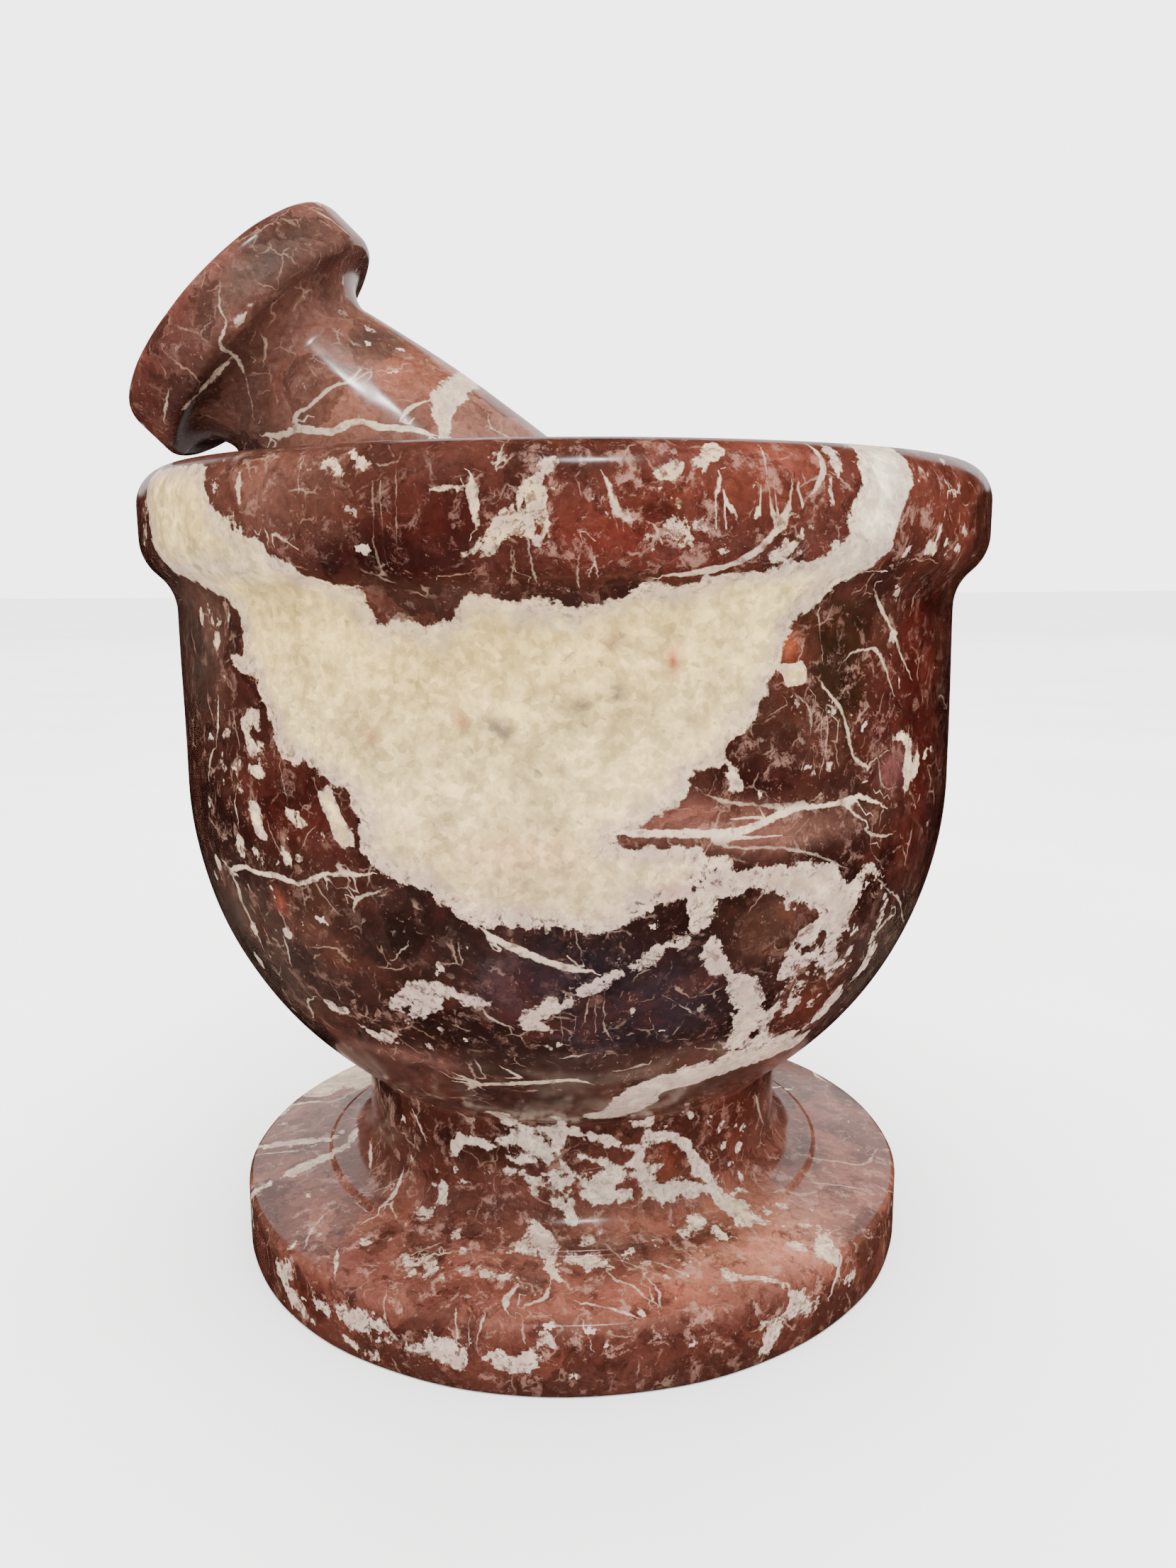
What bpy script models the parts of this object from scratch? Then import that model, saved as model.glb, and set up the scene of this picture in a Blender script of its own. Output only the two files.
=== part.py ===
"""A mortar and pestle turned from veined stone.

Two loose pieces: a pedestal mortar, turned from one block (foot, neck, bowl and rim band), and
a solid pestle with a mushroom cap, a flaring shaft and a round head. Metres, +Z up. The origin
is the centre of the foot's underside. The pestle leans in the XZ plane towards -X: its head
rests on the bowl's wall at +X and its shaft lies over the inner edge of the mouth at -X.
"""
import math

import bpy

# Driving dimensions of the mortar
RIM_RADIUS = 0.0525
HEIGHT = 0.100
BOWL_RADIUS = 0.0486
CAVITY_RADIUS = 0.0390
SPRING_HEIGHT = 0.0630          # where the upright walls turn into the round bottoms
NECK_RADIUS = 0.0278
FOOT_RADIUS = 0.0444
FOOT_EDGE_HEIGHT = 0.0087

# Driving dimensions of the pestle
CAP_RADIUS = 0.0179
CAP_THICKNESS = 0.0076
HEAD_RADIUS = 0.0194
WAIST_RADIUS = 0.0118
PESTLE_LENGTH = 0.1060

# How the pestle stands in the bowl
LEAN_ANGLE = math.radians(45.2)
HEAD_CONTACT_ANGLE = math.radians(10.5)   # below the horizontal, seen from the bowl's centre
REST_GAP = 0.0005

# Smaller features of the mortar
MOUTH_EDGE = 0.0030             # rounding of the inner edge of the mouth
RIM_TOP_EDGE = 0.0045
BAND_CURVE = 0.0055             # both bends of the ogee under the rim band
BAND_CURVE_START = 0.0917       # height at which the band starts to turn under
BOWL_BOTTOM_RADIUS = 0.0472     # outer curve of the bowl, flatter towards the neck
CREASE_FILLET = 0.0015
NECK_FILLET = 0.0045
COLLAR_HEIGHT = 0.0109
COLLAR_STEP = 0.0006            # low step between the neck's fillet and the foot's top
FOOT_TOP_EDGE = 0.0009
FOOT_LOWER_EDGE = 0.0005

# Smaller features of the pestle
CAP_CROWN = 0.0008              # rise of the cap's top above its edge
CAP_TOP_EDGE = 0.0018
CAP_LOWER_EDGE = 0.0013
CAP_FILLET = 0.0045
FLARE_POWER = 2.5               # how early the shaft widens below the cap

# Faceting
MORTAR_STEPS = 56
PESTLE_STEPS = 40
MERGE_DISTANCE = 0.00001

RIGHT_ANGLE = math.pi / 2


def arc(centre, radius, start, end, steps):
    """Points on a circle in the profile plane, from one angle to another, both included."""
    points = []
    for index in range(steps + 1):
        angle = start + (end - start) * index / steps
        radial = centre[0] + radius * math.cos(angle)
        height = centre[1] + radius * math.sin(angle)
        points.append((max(radial, 0.0), height))
    return points


def cavity_profile():
    """The inside of the bowl, from the middle of its floor up to the mouth."""
    floor_to_wall = arc((0.0, SPRING_HEIGHT), CAVITY_RADIUS, -RIGHT_ANGLE, 0.0, 10)
    mouth_centre = (CAVITY_RADIUS + MOUTH_EDGE, HEIGHT - MOUTH_EDGE)
    mouth = arc(mouth_centre, MOUTH_EDGE, math.pi, RIGHT_ANGLE, 3)
    return floor_to_wall + mouth


def rim_profile():
    """The outer top edge, the rim band and the ogee that leads in to the bowl's wall."""
    top_centre = (RIM_RADIUS - RIM_TOP_EDGE, HEIGHT - RIM_TOP_EDGE)
    top = arc(top_centre, RIM_TOP_EDGE, RIGHT_ANGLE, 0.0, 5)
    overhang = RIM_RADIUS - BOWL_RADIUS
    turn = math.acos(1.0 - overhang / (2.0 * BAND_CURVE))
    under_centre = (RIM_RADIUS - BAND_CURVE, BAND_CURVE_START)
    under = arc(under_centre, BAND_CURVE, 0.0, -turn, 4)
    cove_height = BAND_CURVE_START - 2.0 * BAND_CURVE * math.sin(turn)
    cove_centre = (BOWL_RADIUS + BAND_CURVE, cove_height)
    cove = arc(cove_centre, BAND_CURVE, math.pi - turn, math.pi, 4)
    return top + under + cove[1:]


def bowl_profile():
    """The upright wall, the round bottom of the bowl and the small fillet into the neck."""
    centre = (BOWL_RADIUS - BOWL_BOTTOM_RADIUS, SPRING_HEIGHT)
    fillet_radial = NECK_RADIUS + CREASE_FILLET
    reach = BOWL_BOTTOM_RADIUS + CREASE_FILLET
    turn = math.acos((fillet_radial - centre[0]) / reach)
    bottom = arc(centre, BOWL_BOTTOM_RADIUS, 0.0, -turn, 9)
    fillet_centre = (fillet_radial, centre[1] - reach * math.sin(turn))
    fillet = arc(fillet_centre, CREASE_FILLET, math.pi - turn, math.pi, 3)
    return bottom + fillet[1:]


def foot_profile():
    """The neck's lower fillet, the collar step, the sloping top of the foot and its edge."""
    fillet_centre = (NECK_RADIUS + NECK_FILLET, COLLAR_HEIGHT + NECK_FILLET)
    fillet = arc(fillet_centre, NECK_FILLET, math.pi, 1.5 * math.pi, 5)
    collar = [
        (fillet_centre[0] + COLLAR_STEP, COLLAR_HEIGHT - 0.2 * COLLAR_STEP),
        (fillet_centre[0] + 2.0 * COLLAR_STEP, COLLAR_HEIGHT - COLLAR_STEP),
    ]
    upper_centre = (FOOT_RADIUS - FOOT_TOP_EDGE, FOOT_EDGE_HEIGHT - FOOT_TOP_EDGE)
    upper_edge = arc(upper_centre, FOOT_TOP_EDGE, RIGHT_ANGLE, 0.0, 3)
    lower_centre = (FOOT_RADIUS - FOOT_LOWER_EDGE, FOOT_LOWER_EDGE)
    lower_edge = arc(lower_centre, FOOT_LOWER_EDGE, 0.0, -RIGHT_ANGLE, 2)
    return fillet + collar + upper_edge + lower_edge + [(0.0, 0.0)]


def cap_profile(top):
    """The crowned top of the pestle's cap, its side and the fillet under it."""
    crown_reach = CAP_RADIUS - CAP_TOP_EDGE
    crown_radius = (crown_reach ** 2 + CAP_CROWN ** 2) / (2.0 * CAP_CROWN)
    crown_turn = math.asin(crown_reach / crown_radius)
    crown = arc((0.0, top - crown_radius), crown_radius, RIGHT_ANGLE, RIGHT_ANGLE - crown_turn, 3)
    side_top = top - CAP_CROWN
    upper_centre = (crown_reach, side_top - CAP_TOP_EDGE)
    upper = arc(upper_centre, CAP_TOP_EDGE, RIGHT_ANGLE, 0.0, 3)
    underside = side_top - CAP_THICKNESS
    lower_centre = (CAP_RADIUS - CAP_LOWER_EDGE, underside + CAP_LOWER_EDGE)
    lower = arc(lower_centre, CAP_LOWER_EDGE, 0.0, -RIGHT_ANGLE, 3)
    fillet_centre = (WAIST_RADIUS + CAP_FILLET, underside - CAP_FILLET)
    fillet = arc(fillet_centre, CAP_FILLET, RIGHT_ANGLE, math.pi, 4)
    return crown[:-1] + upper + lower + fillet


def shaft_profile(top):
    """The shaft below the fillet, widening fast at first, then ever less down to the head."""
    points = []
    steps = 8
    for index in range(1, steps):
        share = index / steps
        flare = 1.0 - (1.0 - share) ** FLARE_POWER
        radial = WAIST_RADIUS + (HEAD_RADIUS - WAIST_RADIUS) * flare
        points.append((radial, top * (1.0 - share)))
    return points


def stone_material(name, colour):
    """A polished stone with one plain colour."""
    material = bpy.data.materials.new(name)
    material.use_nodes = True
    shader = material.node_tree.nodes["Principled BSDF"]
    shader.inputs["Base Color"].default_value = (*colour, 1.0)
    shader.inputs["Roughness"].default_value = 0.18
    shader.inputs["Metallic"].default_value = 0.0
    return material


def turned_piece(name, profile, steps, material, collection):
    """A solid of revolution about the object's own Z axis, from a profile at +X."""
    mesh = bpy.data.meshes.new(name)
    vertices = [(radial, 0.0, height) for radial, height in profile]
    edges = [(index, index + 1) for index in range(len(profile) - 1)]
    mesh.from_pydata(vertices, edges, [])
    mesh.materials.append(material)
    piece = bpy.data.objects.new(name, mesh)
    collection.objects.link(piece)
    screw = piece.modifiers.new("Turning", "SCREW")
    screw.axis = "Z"
    screw.angle = 2.0 * math.pi
    screw.steps = steps
    screw.render_steps = steps
    screw.use_merge_vertices = True
    screw.merge_threshold = MERGE_DISTANCE
    screw.use_smooth_shade = True
    return piece


def make_mortar(collection):
    """Foot, neck, bowl and rim band, all one block."""
    profile = cavity_profile() + rim_profile() + bowl_profile() + foot_profile()
    stone = stone_material("Red marble", (0.16, 0.045, 0.032))
    return turned_piece("mortar", profile, MORTAR_STEPS, stone, collection)


def make_pestle(collection):
    """The pestle about the centre of its head, leaning towards -X in the bowl."""
    cap_top = PESTLE_LENGTH - HEAD_RADIUS
    shaft_top = cap_top - CAP_CROWN - CAP_THICKNESS - CAP_FILLET
    head = arc((0.0, 0.0), HEAD_RADIUS, 0.0, -RIGHT_ANGLE, 8)
    profile = cap_profile(cap_top) + shaft_profile(shaft_top) + head
    stone = stone_material("Brown marble", (0.15, 0.055, 0.040))
    pestle = turned_piece("pestle", profile, PESTLE_STEPS, stone, collection)
    reach = CAVITY_RADIUS - HEAD_RADIUS - REST_GAP
    pestle.location = (
        reach * math.cos(HEAD_CONTACT_ANGLE),
        0.0,
        SPRING_HEIGHT - reach * math.sin(HEAD_CONTACT_ANGLE),
    )
    pestle.rotation_euler = (0.0, -LEAN_ANGLE, 0.0)
    return pestle


def main():
    for old_object in list(bpy.data.objects):
        bpy.data.objects.remove(old_object, do_unlink=True)
    collection = bpy.data.collections.new("mortar_and_pestle")
    bpy.context.scene.collection.children.link(collection)
    make_mortar(collection)
    make_pestle(collection)


main()
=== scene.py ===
"""The looks of the mortar and pestle: two polished pieces of veined red marble on a pale floor."""
import math

import bpy
import numpy as np
from mathutils import Matrix, Vector


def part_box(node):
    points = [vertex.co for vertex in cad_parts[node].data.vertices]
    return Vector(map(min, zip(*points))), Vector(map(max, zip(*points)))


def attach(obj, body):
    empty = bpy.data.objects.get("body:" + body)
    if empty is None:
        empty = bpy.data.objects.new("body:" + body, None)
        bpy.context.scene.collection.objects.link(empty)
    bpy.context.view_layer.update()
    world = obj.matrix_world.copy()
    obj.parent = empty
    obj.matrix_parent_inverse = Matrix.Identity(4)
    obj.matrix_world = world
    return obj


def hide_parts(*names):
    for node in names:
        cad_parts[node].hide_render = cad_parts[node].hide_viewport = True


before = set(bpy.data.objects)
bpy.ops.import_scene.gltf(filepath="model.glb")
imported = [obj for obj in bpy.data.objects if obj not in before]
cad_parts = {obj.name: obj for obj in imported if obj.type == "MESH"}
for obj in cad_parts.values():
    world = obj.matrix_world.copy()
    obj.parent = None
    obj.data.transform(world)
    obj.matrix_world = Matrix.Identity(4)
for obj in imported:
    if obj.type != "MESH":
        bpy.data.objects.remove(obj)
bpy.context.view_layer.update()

MM = 0.001
RIGHT_ANGLE = math.pi / 2
FAR = 9.0               # millimetres beyond which the distance to a drawn shape does not matter
PESTLE_HEAD = 19.4      # radius in millimetres
mortar_low, mortar_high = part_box("mortar")
RIM_RADIUS = (mortar_high.x - mortar_low.x) / (2 * MM)      # profile lengths are in millimetres
HEIGHT = mortar_high.z / MM


# ---------------------------------------------------------------- turned shapes

def arc(centre, radius, start, end, spacing):
    """Points on a circle in the profile plane, about one spacing apart."""
    steps = max(3, math.ceil(abs(end - start) * radius / spacing))
    angles = np.linspace(start, end, steps + 1)
    radial = np.maximum(centre[0] + radius * np.cos(angles), 0.0)
    return np.column_stack((radial, centre[1] + radius * np.sin(angles)))


def straight(first, last, spacing):
    """Points on a straight run of the profile, both ends included."""
    steps = max(1, math.ceil(math.dist(first, last) / spacing))
    return np.linspace(first, last, steps + 1)


def joined(runs):
    """Runs of a profile put end to end, without the points that two runs share."""
    points = [runs[0][0]]
    for run in runs:
        for point in run:
            if math.dist(point, points[-1]) > 0.02:
                points.append(point)
    return np.array(points)


def mortar_profile():
    """The mortar's outline from the middle of the bowl's floor, over the rim, to under the foot.

    Returns the points and the number of the one where the mouth's edge meets the flat top.
    """
    cavity_radius = 39.0
    spring_height = 63.0
    mouth_edge = 3.0
    coarse = 1.6
    fine = 0.7
    inside = joined([
        arc((0.0, spring_height), cavity_radius, -RIGHT_ANGLE, 0.0, coarse),
        straight((cavity_radius, spring_height), (cavity_radius, HEIGHT - mouth_edge), coarse),
        arc((cavity_radius + mouth_edge, HEIGHT - mouth_edge), mouth_edge, math.pi, RIGHT_ANGLE, fine),
    ])
    bowl_radius = RIM_RADIUS - 3.9
    top_edge = 4.5
    ogee = 5.5
    ogee_turn = math.acos(1.0 - (RIM_RADIUS - bowl_radius) / (2.0 * ogee))
    ogee_start = 91.7
    cove_height = ogee_start - 2.0 * ogee * math.sin(ogee_turn)
    bottom_radius = 47.2
    bottom_centre = (bowl_radius - bottom_radius, spring_height)
    neck_radius = 27.8
    crease = 1.5
    crease_reach = bottom_radius + crease
    bottom_turn = math.acos((neck_radius + crease - bottom_centre[0]) / crease_reach)
    crease_centre = (neck_radius + crease, spring_height - crease_reach * math.sin(bottom_turn))
    neck_fillet = 4.5
    collar_height = 10.9
    collar_step = 0.6
    collar_radius = neck_radius + neck_fillet
    foot_radius = 44.4
    foot_height = 8.7
    foot_top_edge = 0.9
    foot_lower_edge = 0.5
    outside = joined([
        straight(inside[-1], (RIM_RADIUS - top_edge, HEIGHT), fine),
        arc((RIM_RADIUS - top_edge, HEIGHT - top_edge), top_edge, RIGHT_ANGLE, 0.0, fine),
        arc((RIM_RADIUS - ogee, ogee_start), ogee, 0.0, -ogee_turn, fine),
        arc((bowl_radius + ogee, cove_height), ogee, math.pi - ogee_turn, math.pi, fine),
        straight((bowl_radius, cove_height), (bowl_radius, spring_height), fine),
        arc(bottom_centre, bottom_radius, 0.0, -bottom_turn, fine),
        arc(crease_centre, crease, math.pi - bottom_turn, math.pi, 0.4),
        straight((neck_radius, crease_centre[1]), (neck_radius, collar_height + neck_fillet), fine),
        arc((collar_radius, collar_height + neck_fillet), neck_fillet, math.pi, 1.5 * math.pi, fine),
        arc((collar_radius + collar_step, collar_height - collar_step), collar_step,
            RIGHT_ANGLE, 0.2, 0.25),
        straight((collar_radius + 2.0 * collar_step, collar_height - collar_step),
                 (foot_radius - foot_top_edge, foot_height), fine),
        arc((foot_radius - foot_top_edge, foot_height - foot_top_edge), foot_top_edge,
            RIGHT_ANGLE, 0.0, 0.3),
        straight((foot_radius, foot_height - foot_top_edge), (foot_radius, foot_lower_edge), fine),
        arc((foot_radius - foot_lower_edge, foot_lower_edge), foot_lower_edge,
            0.0, -RIGHT_ANGLE, 0.25),
        straight((foot_radius - foot_lower_edge, 0.0), (0.0, 0.0), 2.0 * coarse),
    ])
    return np.vstack((inside[:-1], outside)), len(inside) - 1


def pestle_profile():
    """The pestle's outline, from the middle of the cap's top down to the tip of the head.

    Heights are above the centre of the round head.
    """
    length = 106.0
    cap_radius = 17.9
    cap_thickness = 7.6
    cap_crown = 0.8
    top_edge = 1.8
    lower_edge = 1.3
    waist_radius = 11.8
    fillet = 4.5
    flare_power = 2.5
    fine = 0.6
    top = length - PESTLE_HEAD
    crown_reach = cap_radius - top_edge
    crown_radius = (crown_reach ** 2 + cap_crown ** 2) / (2.0 * cap_crown)
    crown_turn = math.asin(crown_reach / crown_radius)
    side_top = top - cap_crown
    underside = side_top - cap_thickness
    shaft_top = underside - fillet
    share = np.linspace(0.0, 1.0, math.ceil(shaft_top / fine))
    flare = 1.0 - (1.0 - share) ** flare_power
    shaft = np.column_stack((waist_radius + (PESTLE_HEAD - waist_radius) * flare,
                             shaft_top * (1.0 - share)))
    return joined([
        arc((0.0, top - crown_radius), crown_radius, RIGHT_ANGLE, RIGHT_ANGLE - crown_turn, fine),
        arc((crown_reach, side_top - top_edge), top_edge, RIGHT_ANGLE, 0.0, 0.4),
        straight((cap_radius, side_top - top_edge), (cap_radius, underside + lower_edge), fine),
        arc((cap_radius - lower_edge, underside + lower_edge), lower_edge, 0.0, -RIGHT_ANGLE, 0.4),
        straight((cap_radius - lower_edge, underside), (waist_radius + fillet, underside), fine),
        arc((waist_radius + fillet, shaft_top), fillet, RIGHT_ANGLE, math.pi, fine),
        shaft,
        arc((0.0, 0.0), PESTLE_HEAD, 0.0, -RIGHT_ANGLE, 1.2),
    ])


def hand_turned(radial, height, angle):
    """The profile's radius with the small waves that grinding and polishing by hand leave."""
    waves = (
        0.07 * np.sin(3.0 * angle + height / 23.0 + 0.7)
        + 0.05 * np.sin(5.0 * angle - height / 13.0)
        + 0.04 * np.sin(11.0 * angle + height / 7.0 + 2.0)
        + 0.02 * np.sin(19.0 * angle - height / 3.0)
    )
    return radial + waves * np.minimum(radial / 10.0, 1.0)


def turned_mesh(name, profile, start, front, steps, place):
    """A closed solid of revolution, and the chart of its points.

    On the chart, lengths count from the profile's point numbered start, and degrees from the angle
    front. place turns (radial, height, angle) in millimetres and radians into a point in the frame,
    in metres.
    """
    angles = np.arange(steps) * (2.0 * math.pi / steps)
    body = profile[1:-1]
    radial = np.repeat(body[:, 0], steps)
    height = np.repeat(body[:, 1], steps)
    angle = np.tile(angles, len(body))
    ends = profile[[0, -1]]
    radial = np.concatenate((radial, ends[:, 0]))
    height = np.concatenate((height, ends[:, 1]))
    angle = np.concatenate((angle, (0.0, 0.0)))
    points = place(hand_turned(radial, height, angle), height, angle)
    row = np.arange(len(body) - 1)[:, None] * steps
    column = np.arange(steps)[None, :]
    following = (column + 1) % steps
    quads = np.stack((row + column, row + steps + column, row + steps + following, row + following), -1)
    faces = quads.reshape(-1, 4).tolist()
    first_end = len(body) * steps
    last_row = first_end - steps
    for step in range(steps):
        after = (step + 1) % steps
        faces.append([first_end, step, after])
        faces.append([last_row + step, first_end + 1, last_row + after])
    mesh = bpy.data.meshes.new(name)
    mesh.from_pydata(points.tolist(), [], faces)
    mesh.shade_smooth()
    piece = bpy.data.objects.new(name, mesh)
    bpy.context.scene.collection.objects.link(piece)
    lengths = np.concatenate(([0.0], np.cumsum(np.hypot(*np.diff(profile, axis=0).T))))
    lengths -= lengths[start]
    along = np.concatenate((np.repeat(lengths[1:-1], steps), lengths[[0, -1]]))
    return piece, Chart(np.degrees(angle) - front, along, radial)


# ---------------------------------------------------------------- patterns laid on a surface

def turn(degrees):
    """The same turn, written between -180 and 180 degrees."""
    return (degrees + 180.0) % 360.0 - 180.0


def from_run(across, down, run_across, run_down):
    """Where on a straight run the nearest place to a point is, as a share, and how far away it is."""
    tiny = 1e-9
    square = run_across ** 2 + run_down ** 2 + tiny
    share = np.clip((across * run_across + down * run_down) / square, 0.0, 1.0)
    return share, np.hypot(across - share * run_across, down - share * run_down)


class Chart:
    """Every point of a turned piece, as degrees from its front and millimetres along its profile.

    Its methods measure, at each point, how far it lies from a shape drawn on that chart.
    """

    def __init__(self, around, along, radial):
        self.around = around
        self.along = along
        least_radius = 8.0
        # millimetres across one degree
        self.degree = np.maximum(radial, least_radius) * math.pi / 180.0

    def offsets(self, around, along):
        """Millimetres across and down from one place on the chart."""
        return turn(self.around - around) * self.degree, self.along - along

    def from_front(self):
        """Degrees from the front, whichever way round."""
        return np.abs(turn(self.around))

    def path(self, points):
        """How far each chart point lies sideways of a smooth path, and how far inside its width.

        The path's points are (around, along, half-width). Left and right differ in sign.
        """
        margin = 3.0
        widest_span = 25.0
        path = smooth(np.array(points, float))
        side = np.full(len(self.along), FAR)
        inside = np.full(len(self.along), -FAR)
        reach = margin + path[:, 2].max()
        span = reach / self.degree.min() + 1.0
        middle = path[:, 0].mean()
        half = np.ptp(path[:, 0]) / 2.0
        near = np.abs(turn(self.around - middle)) < half + min(span, widest_span)
        near &= (self.along > path[:, 1].min() - reach) & (self.along < path[:, 1].max() + reach)
        near = np.flatnonzero(near)
        degree = self.degree[near]
        for first, last in zip(path[:-1], path[1:]):
            across = turn(self.around[near] - first[0]) * degree
            down = self.along[near] - first[1]
            run_across = (last[0] - first[0]) * degree
            run_down = last[1] - first[1]
            share, gap = from_run(across, down, run_across, run_down)
            width = first[2] + (last[2] - first[2]) * share
            hand = np.where(run_across * down > run_down * across, 1.0, -1.0)
            better = width - gap > inside[near]
            inside[near[better]] = (width - gap)[better]
            side[near[better]] = (gap * hand)[better]
        return side, inside

    def spot(self, around, along, half_across, half_along):
        """How far inside an oval each chart point lies."""
        across, down = self.offsets(around, along)
        reach = np.hypot(across / half_across, down / half_along)
        return (1.0 - reach) * min(half_across, half_along)

    def outline(self, points):
        """How far inside a closed outline each chart point lies."""
        edge = np.array([*points, points[0]], float)
        gap = np.full(len(self.along), FAR)
        crossings = np.zeros(len(self.along), bool)
        for first, last in zip(edge[:-1], edge[1:]):
            across, down = self.offsets(first[0], first[1])
            run_across = (last[0] - first[0]) * self.degree
            run_down = last[1] - first[1]
            gap = np.minimum(gap, from_run(across, down, run_across, run_down)[1])
            between = (down >= 0.0) != (self.along - last[1] >= 0.0)
            crossing = np.where(between, run_across * down / (run_down or 1.0), 0.0)
            crossings ^= between & (across < crossing)
        return np.where(crossings, gap, -gap)

    def nearness(self, around, along, across_size, along_size):
        """A soft hill, 1 at its middle, that fades over the given sizes."""
        across, down = self.offsets(around, along)
        return np.exp(-(across / across_size) ** 2 - (down / along_size) ** 2)


def smooth(points, steps=4):
    """A path through the points with rounded corners (Catmull-Rom)."""
    if len(points) < 3:
        return points
    padded = np.vstack((2 * points[0] - points[1], points, 2 * points[-1] - points[-2]))
    share = (np.arange(steps) / steps)[:, None]
    runs = []
    for before, first, last, after in zip(padded, padded[1:], padded[2:], padded[3:]):
        runs.append(0.5 * (
            2 * first + (last - before) * share
            + (2 * before - 5 * first + 4 * last - after) * share ** 2
            + (3 * first - before - 3 * last + after) * share ** 3
        ))
    path = np.vstack(runs + [points[-1]])
    path[:, 2] = np.maximum(path[:, 2], 0.02)
    return path


def colour(red, green, blue):
    """A colour as screens give it, 0 to 255, in the linear light that shaders use."""
    shares = np.array((red, green, blue)) / 255.0
    return np.where(shares <= 0.04045, shares / 12.92, ((shares + 0.055) / 1.055) ** 2.4)


def deep(*shade):
    """A dark stone's colour, deepened because the picture's soft contrast lifts dark tones."""
    return colour(*shade) ** 1.42


def store(piece, name, values):
    """Keeps one number or one colour for each point of the mesh, for the material to read."""
    flat = values.ndim == 1
    attribute = piece.data.attributes.new(name, "FLOAT" if flat else "FLOAT_COLOR", "POINT")
    if flat:
        attribute.data.foreach_set("value", values.astype(np.float32))
    else:
        rgba = np.column_stack((values, np.ones(len(values))))
        attribute.data.foreach_set("color", rgba.astype(np.float32).ravel())


def tinted(chart, base, patches, tone):
    """A base colour with soft patches of others: around, along, two sizes, colour and strength."""
    result = np.tile(tone(*base), (len(chart.along), 1))
    for around, along, across_size, along_size, shade, strength in patches:
        share = (strength * chart.nearness(around, along, across_size, along_size))[:, None]
        result = result * (1.0 - share) + tone(*shade) * share
    return result


def lay_pattern(piece, chart, pale, veins, ground, light):
    """Stores what the marble material reads: pale bodies, thin veins and the two colours."""
    offset = np.full(len(chart.along), FAR)
    width = np.full(len(chart.along), -FAR)
    strength = np.zeros(len(chart.along))
    inside = np.full(len(chart.along), -FAR)
    tip_share = 0.45
    fade_power = 1.4
    vein_reach = 1.2
    deepest = 6.0
    for half_width, whiteness, *points in veins:
        shares = [tip_share] + [1.0] * (len(points) - 2) + [tip_share]
        path = [(*point, half_width * share) for point, share in zip(points, shares)]
        side, depth = chart.path(path)
        better = depth > inside
        inside[better] = depth[better]
        offset[better] = side[better]
        width[better] = (depth + np.abs(side))[better]
        strength[better] = whiteness
    store(piece, "vein_offset", offset)
    store(piece, "vein_width", np.where(inside < -vein_reach, -1.0, width))
    store(piece, "vein_strength", strength ** fade_power)
    store(piece, "pale", np.clip(pale, -deepest, deepest))
    store(piece, "ground", ground)
    store(piece, "light", light)


# ---------------------------------------------------------------- the mortar's stone

CREAM = (198, 167, 97)
WHITE = (200, 176, 136)
GREYED = (150, 122, 104)
BROWN_RED = (82, 52, 44)
MAROON = (66, 33, 28)
RED = (100, 50, 40)
DEEP_RED = (78, 38, 31)
BRICK = (134, 82, 68)
PESTLE_BROWN = (124, 97, 88)
BROWN = (88, 62, 52)
TAN = (132, 100, 88)
VEIN = (190, 170, 152)
LILAC = (160, 140, 132)
PINK = (150, 112, 98)
OLIVE = (58, 44, 30)
PURPLE = (62, 50, 54)
SLATE = (92, 80, 72)

# The mortar is drawn as degrees from its front and millimetres down from the edge of its mouth.

# The big cream body, clockwise from its top left
CREAM_BODY = [
    (-60.5, 9), (-44.3, 9.6), (-43.1, 11.7), (-41.9, 13.6), (-40, 14.8), (-37.5, 16.2), (-34.1, 17.5),
    (-32.4, 18.8), (-28.8, 21.4), (-26.4, 22.5), (-23.5, 23.3), (-22.5, 25), (-21.3, 26.5),
    (-18.4, 25.8), (-15.4, 27), (-12.5, 25.8), (-11.5, 24.1), (-10.3, 23.7), (-5.5, 24.1), (-2.6, 24.5),
    (-0.2, 25.2), (2.6, 24.5), (5, 23.7), (7.7, 22.7), (12.4, 22.4), (15.8, 21.9), (19.7, 21),
    (23.7, 20.4), (27.6, 19.6), (30, 17.3), (31.5, 13.7), (32.5, 10.5), (32.7, 7), (40.3, 7),
    (40.3, 9.9), (38.9, 15), (36.9, 18.9), (33.2, 22), (28.8, 25.5), (26.1, 27.7), (24.9, 30),
    (23.5, 33.4), (20.9, 36.5), (18.6, 38.3), (17.9, 40.2), (14, 41.4), (14, 42.6), (11.2, 44.5),
    (8.4, 46), (4.7, 47.3), (9.3, 47.8), (15.4, 48.2), (18.6, 49.8), (17.7, 51.3), (15, 52), (13, 54),
    (9.9, 54.2), (7.1, 55.4), (3, 57.1), (0.2, 56.5), (-6.4, 56.3), (-10.2, 55.7), (-13.9, 55),
    (-17, 53), (-20, 52.2), (-23.5, 50.5), (-26, 48.5), (-25, 46), (-27, 43.5), (-29.5, 42), (-33, 41),
    (-36, 40.3), (-38.5, 38), (-39.4, 35), (-41, 32.5), (-43.2, 30.8), (-43.8, 28.5), (-44.5, 25.5),
    (-47, 24), (-51, 22.8), (-55, 21), (-58.5, 18), (-59.5, 14), (-60.5, 11),
]

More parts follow.
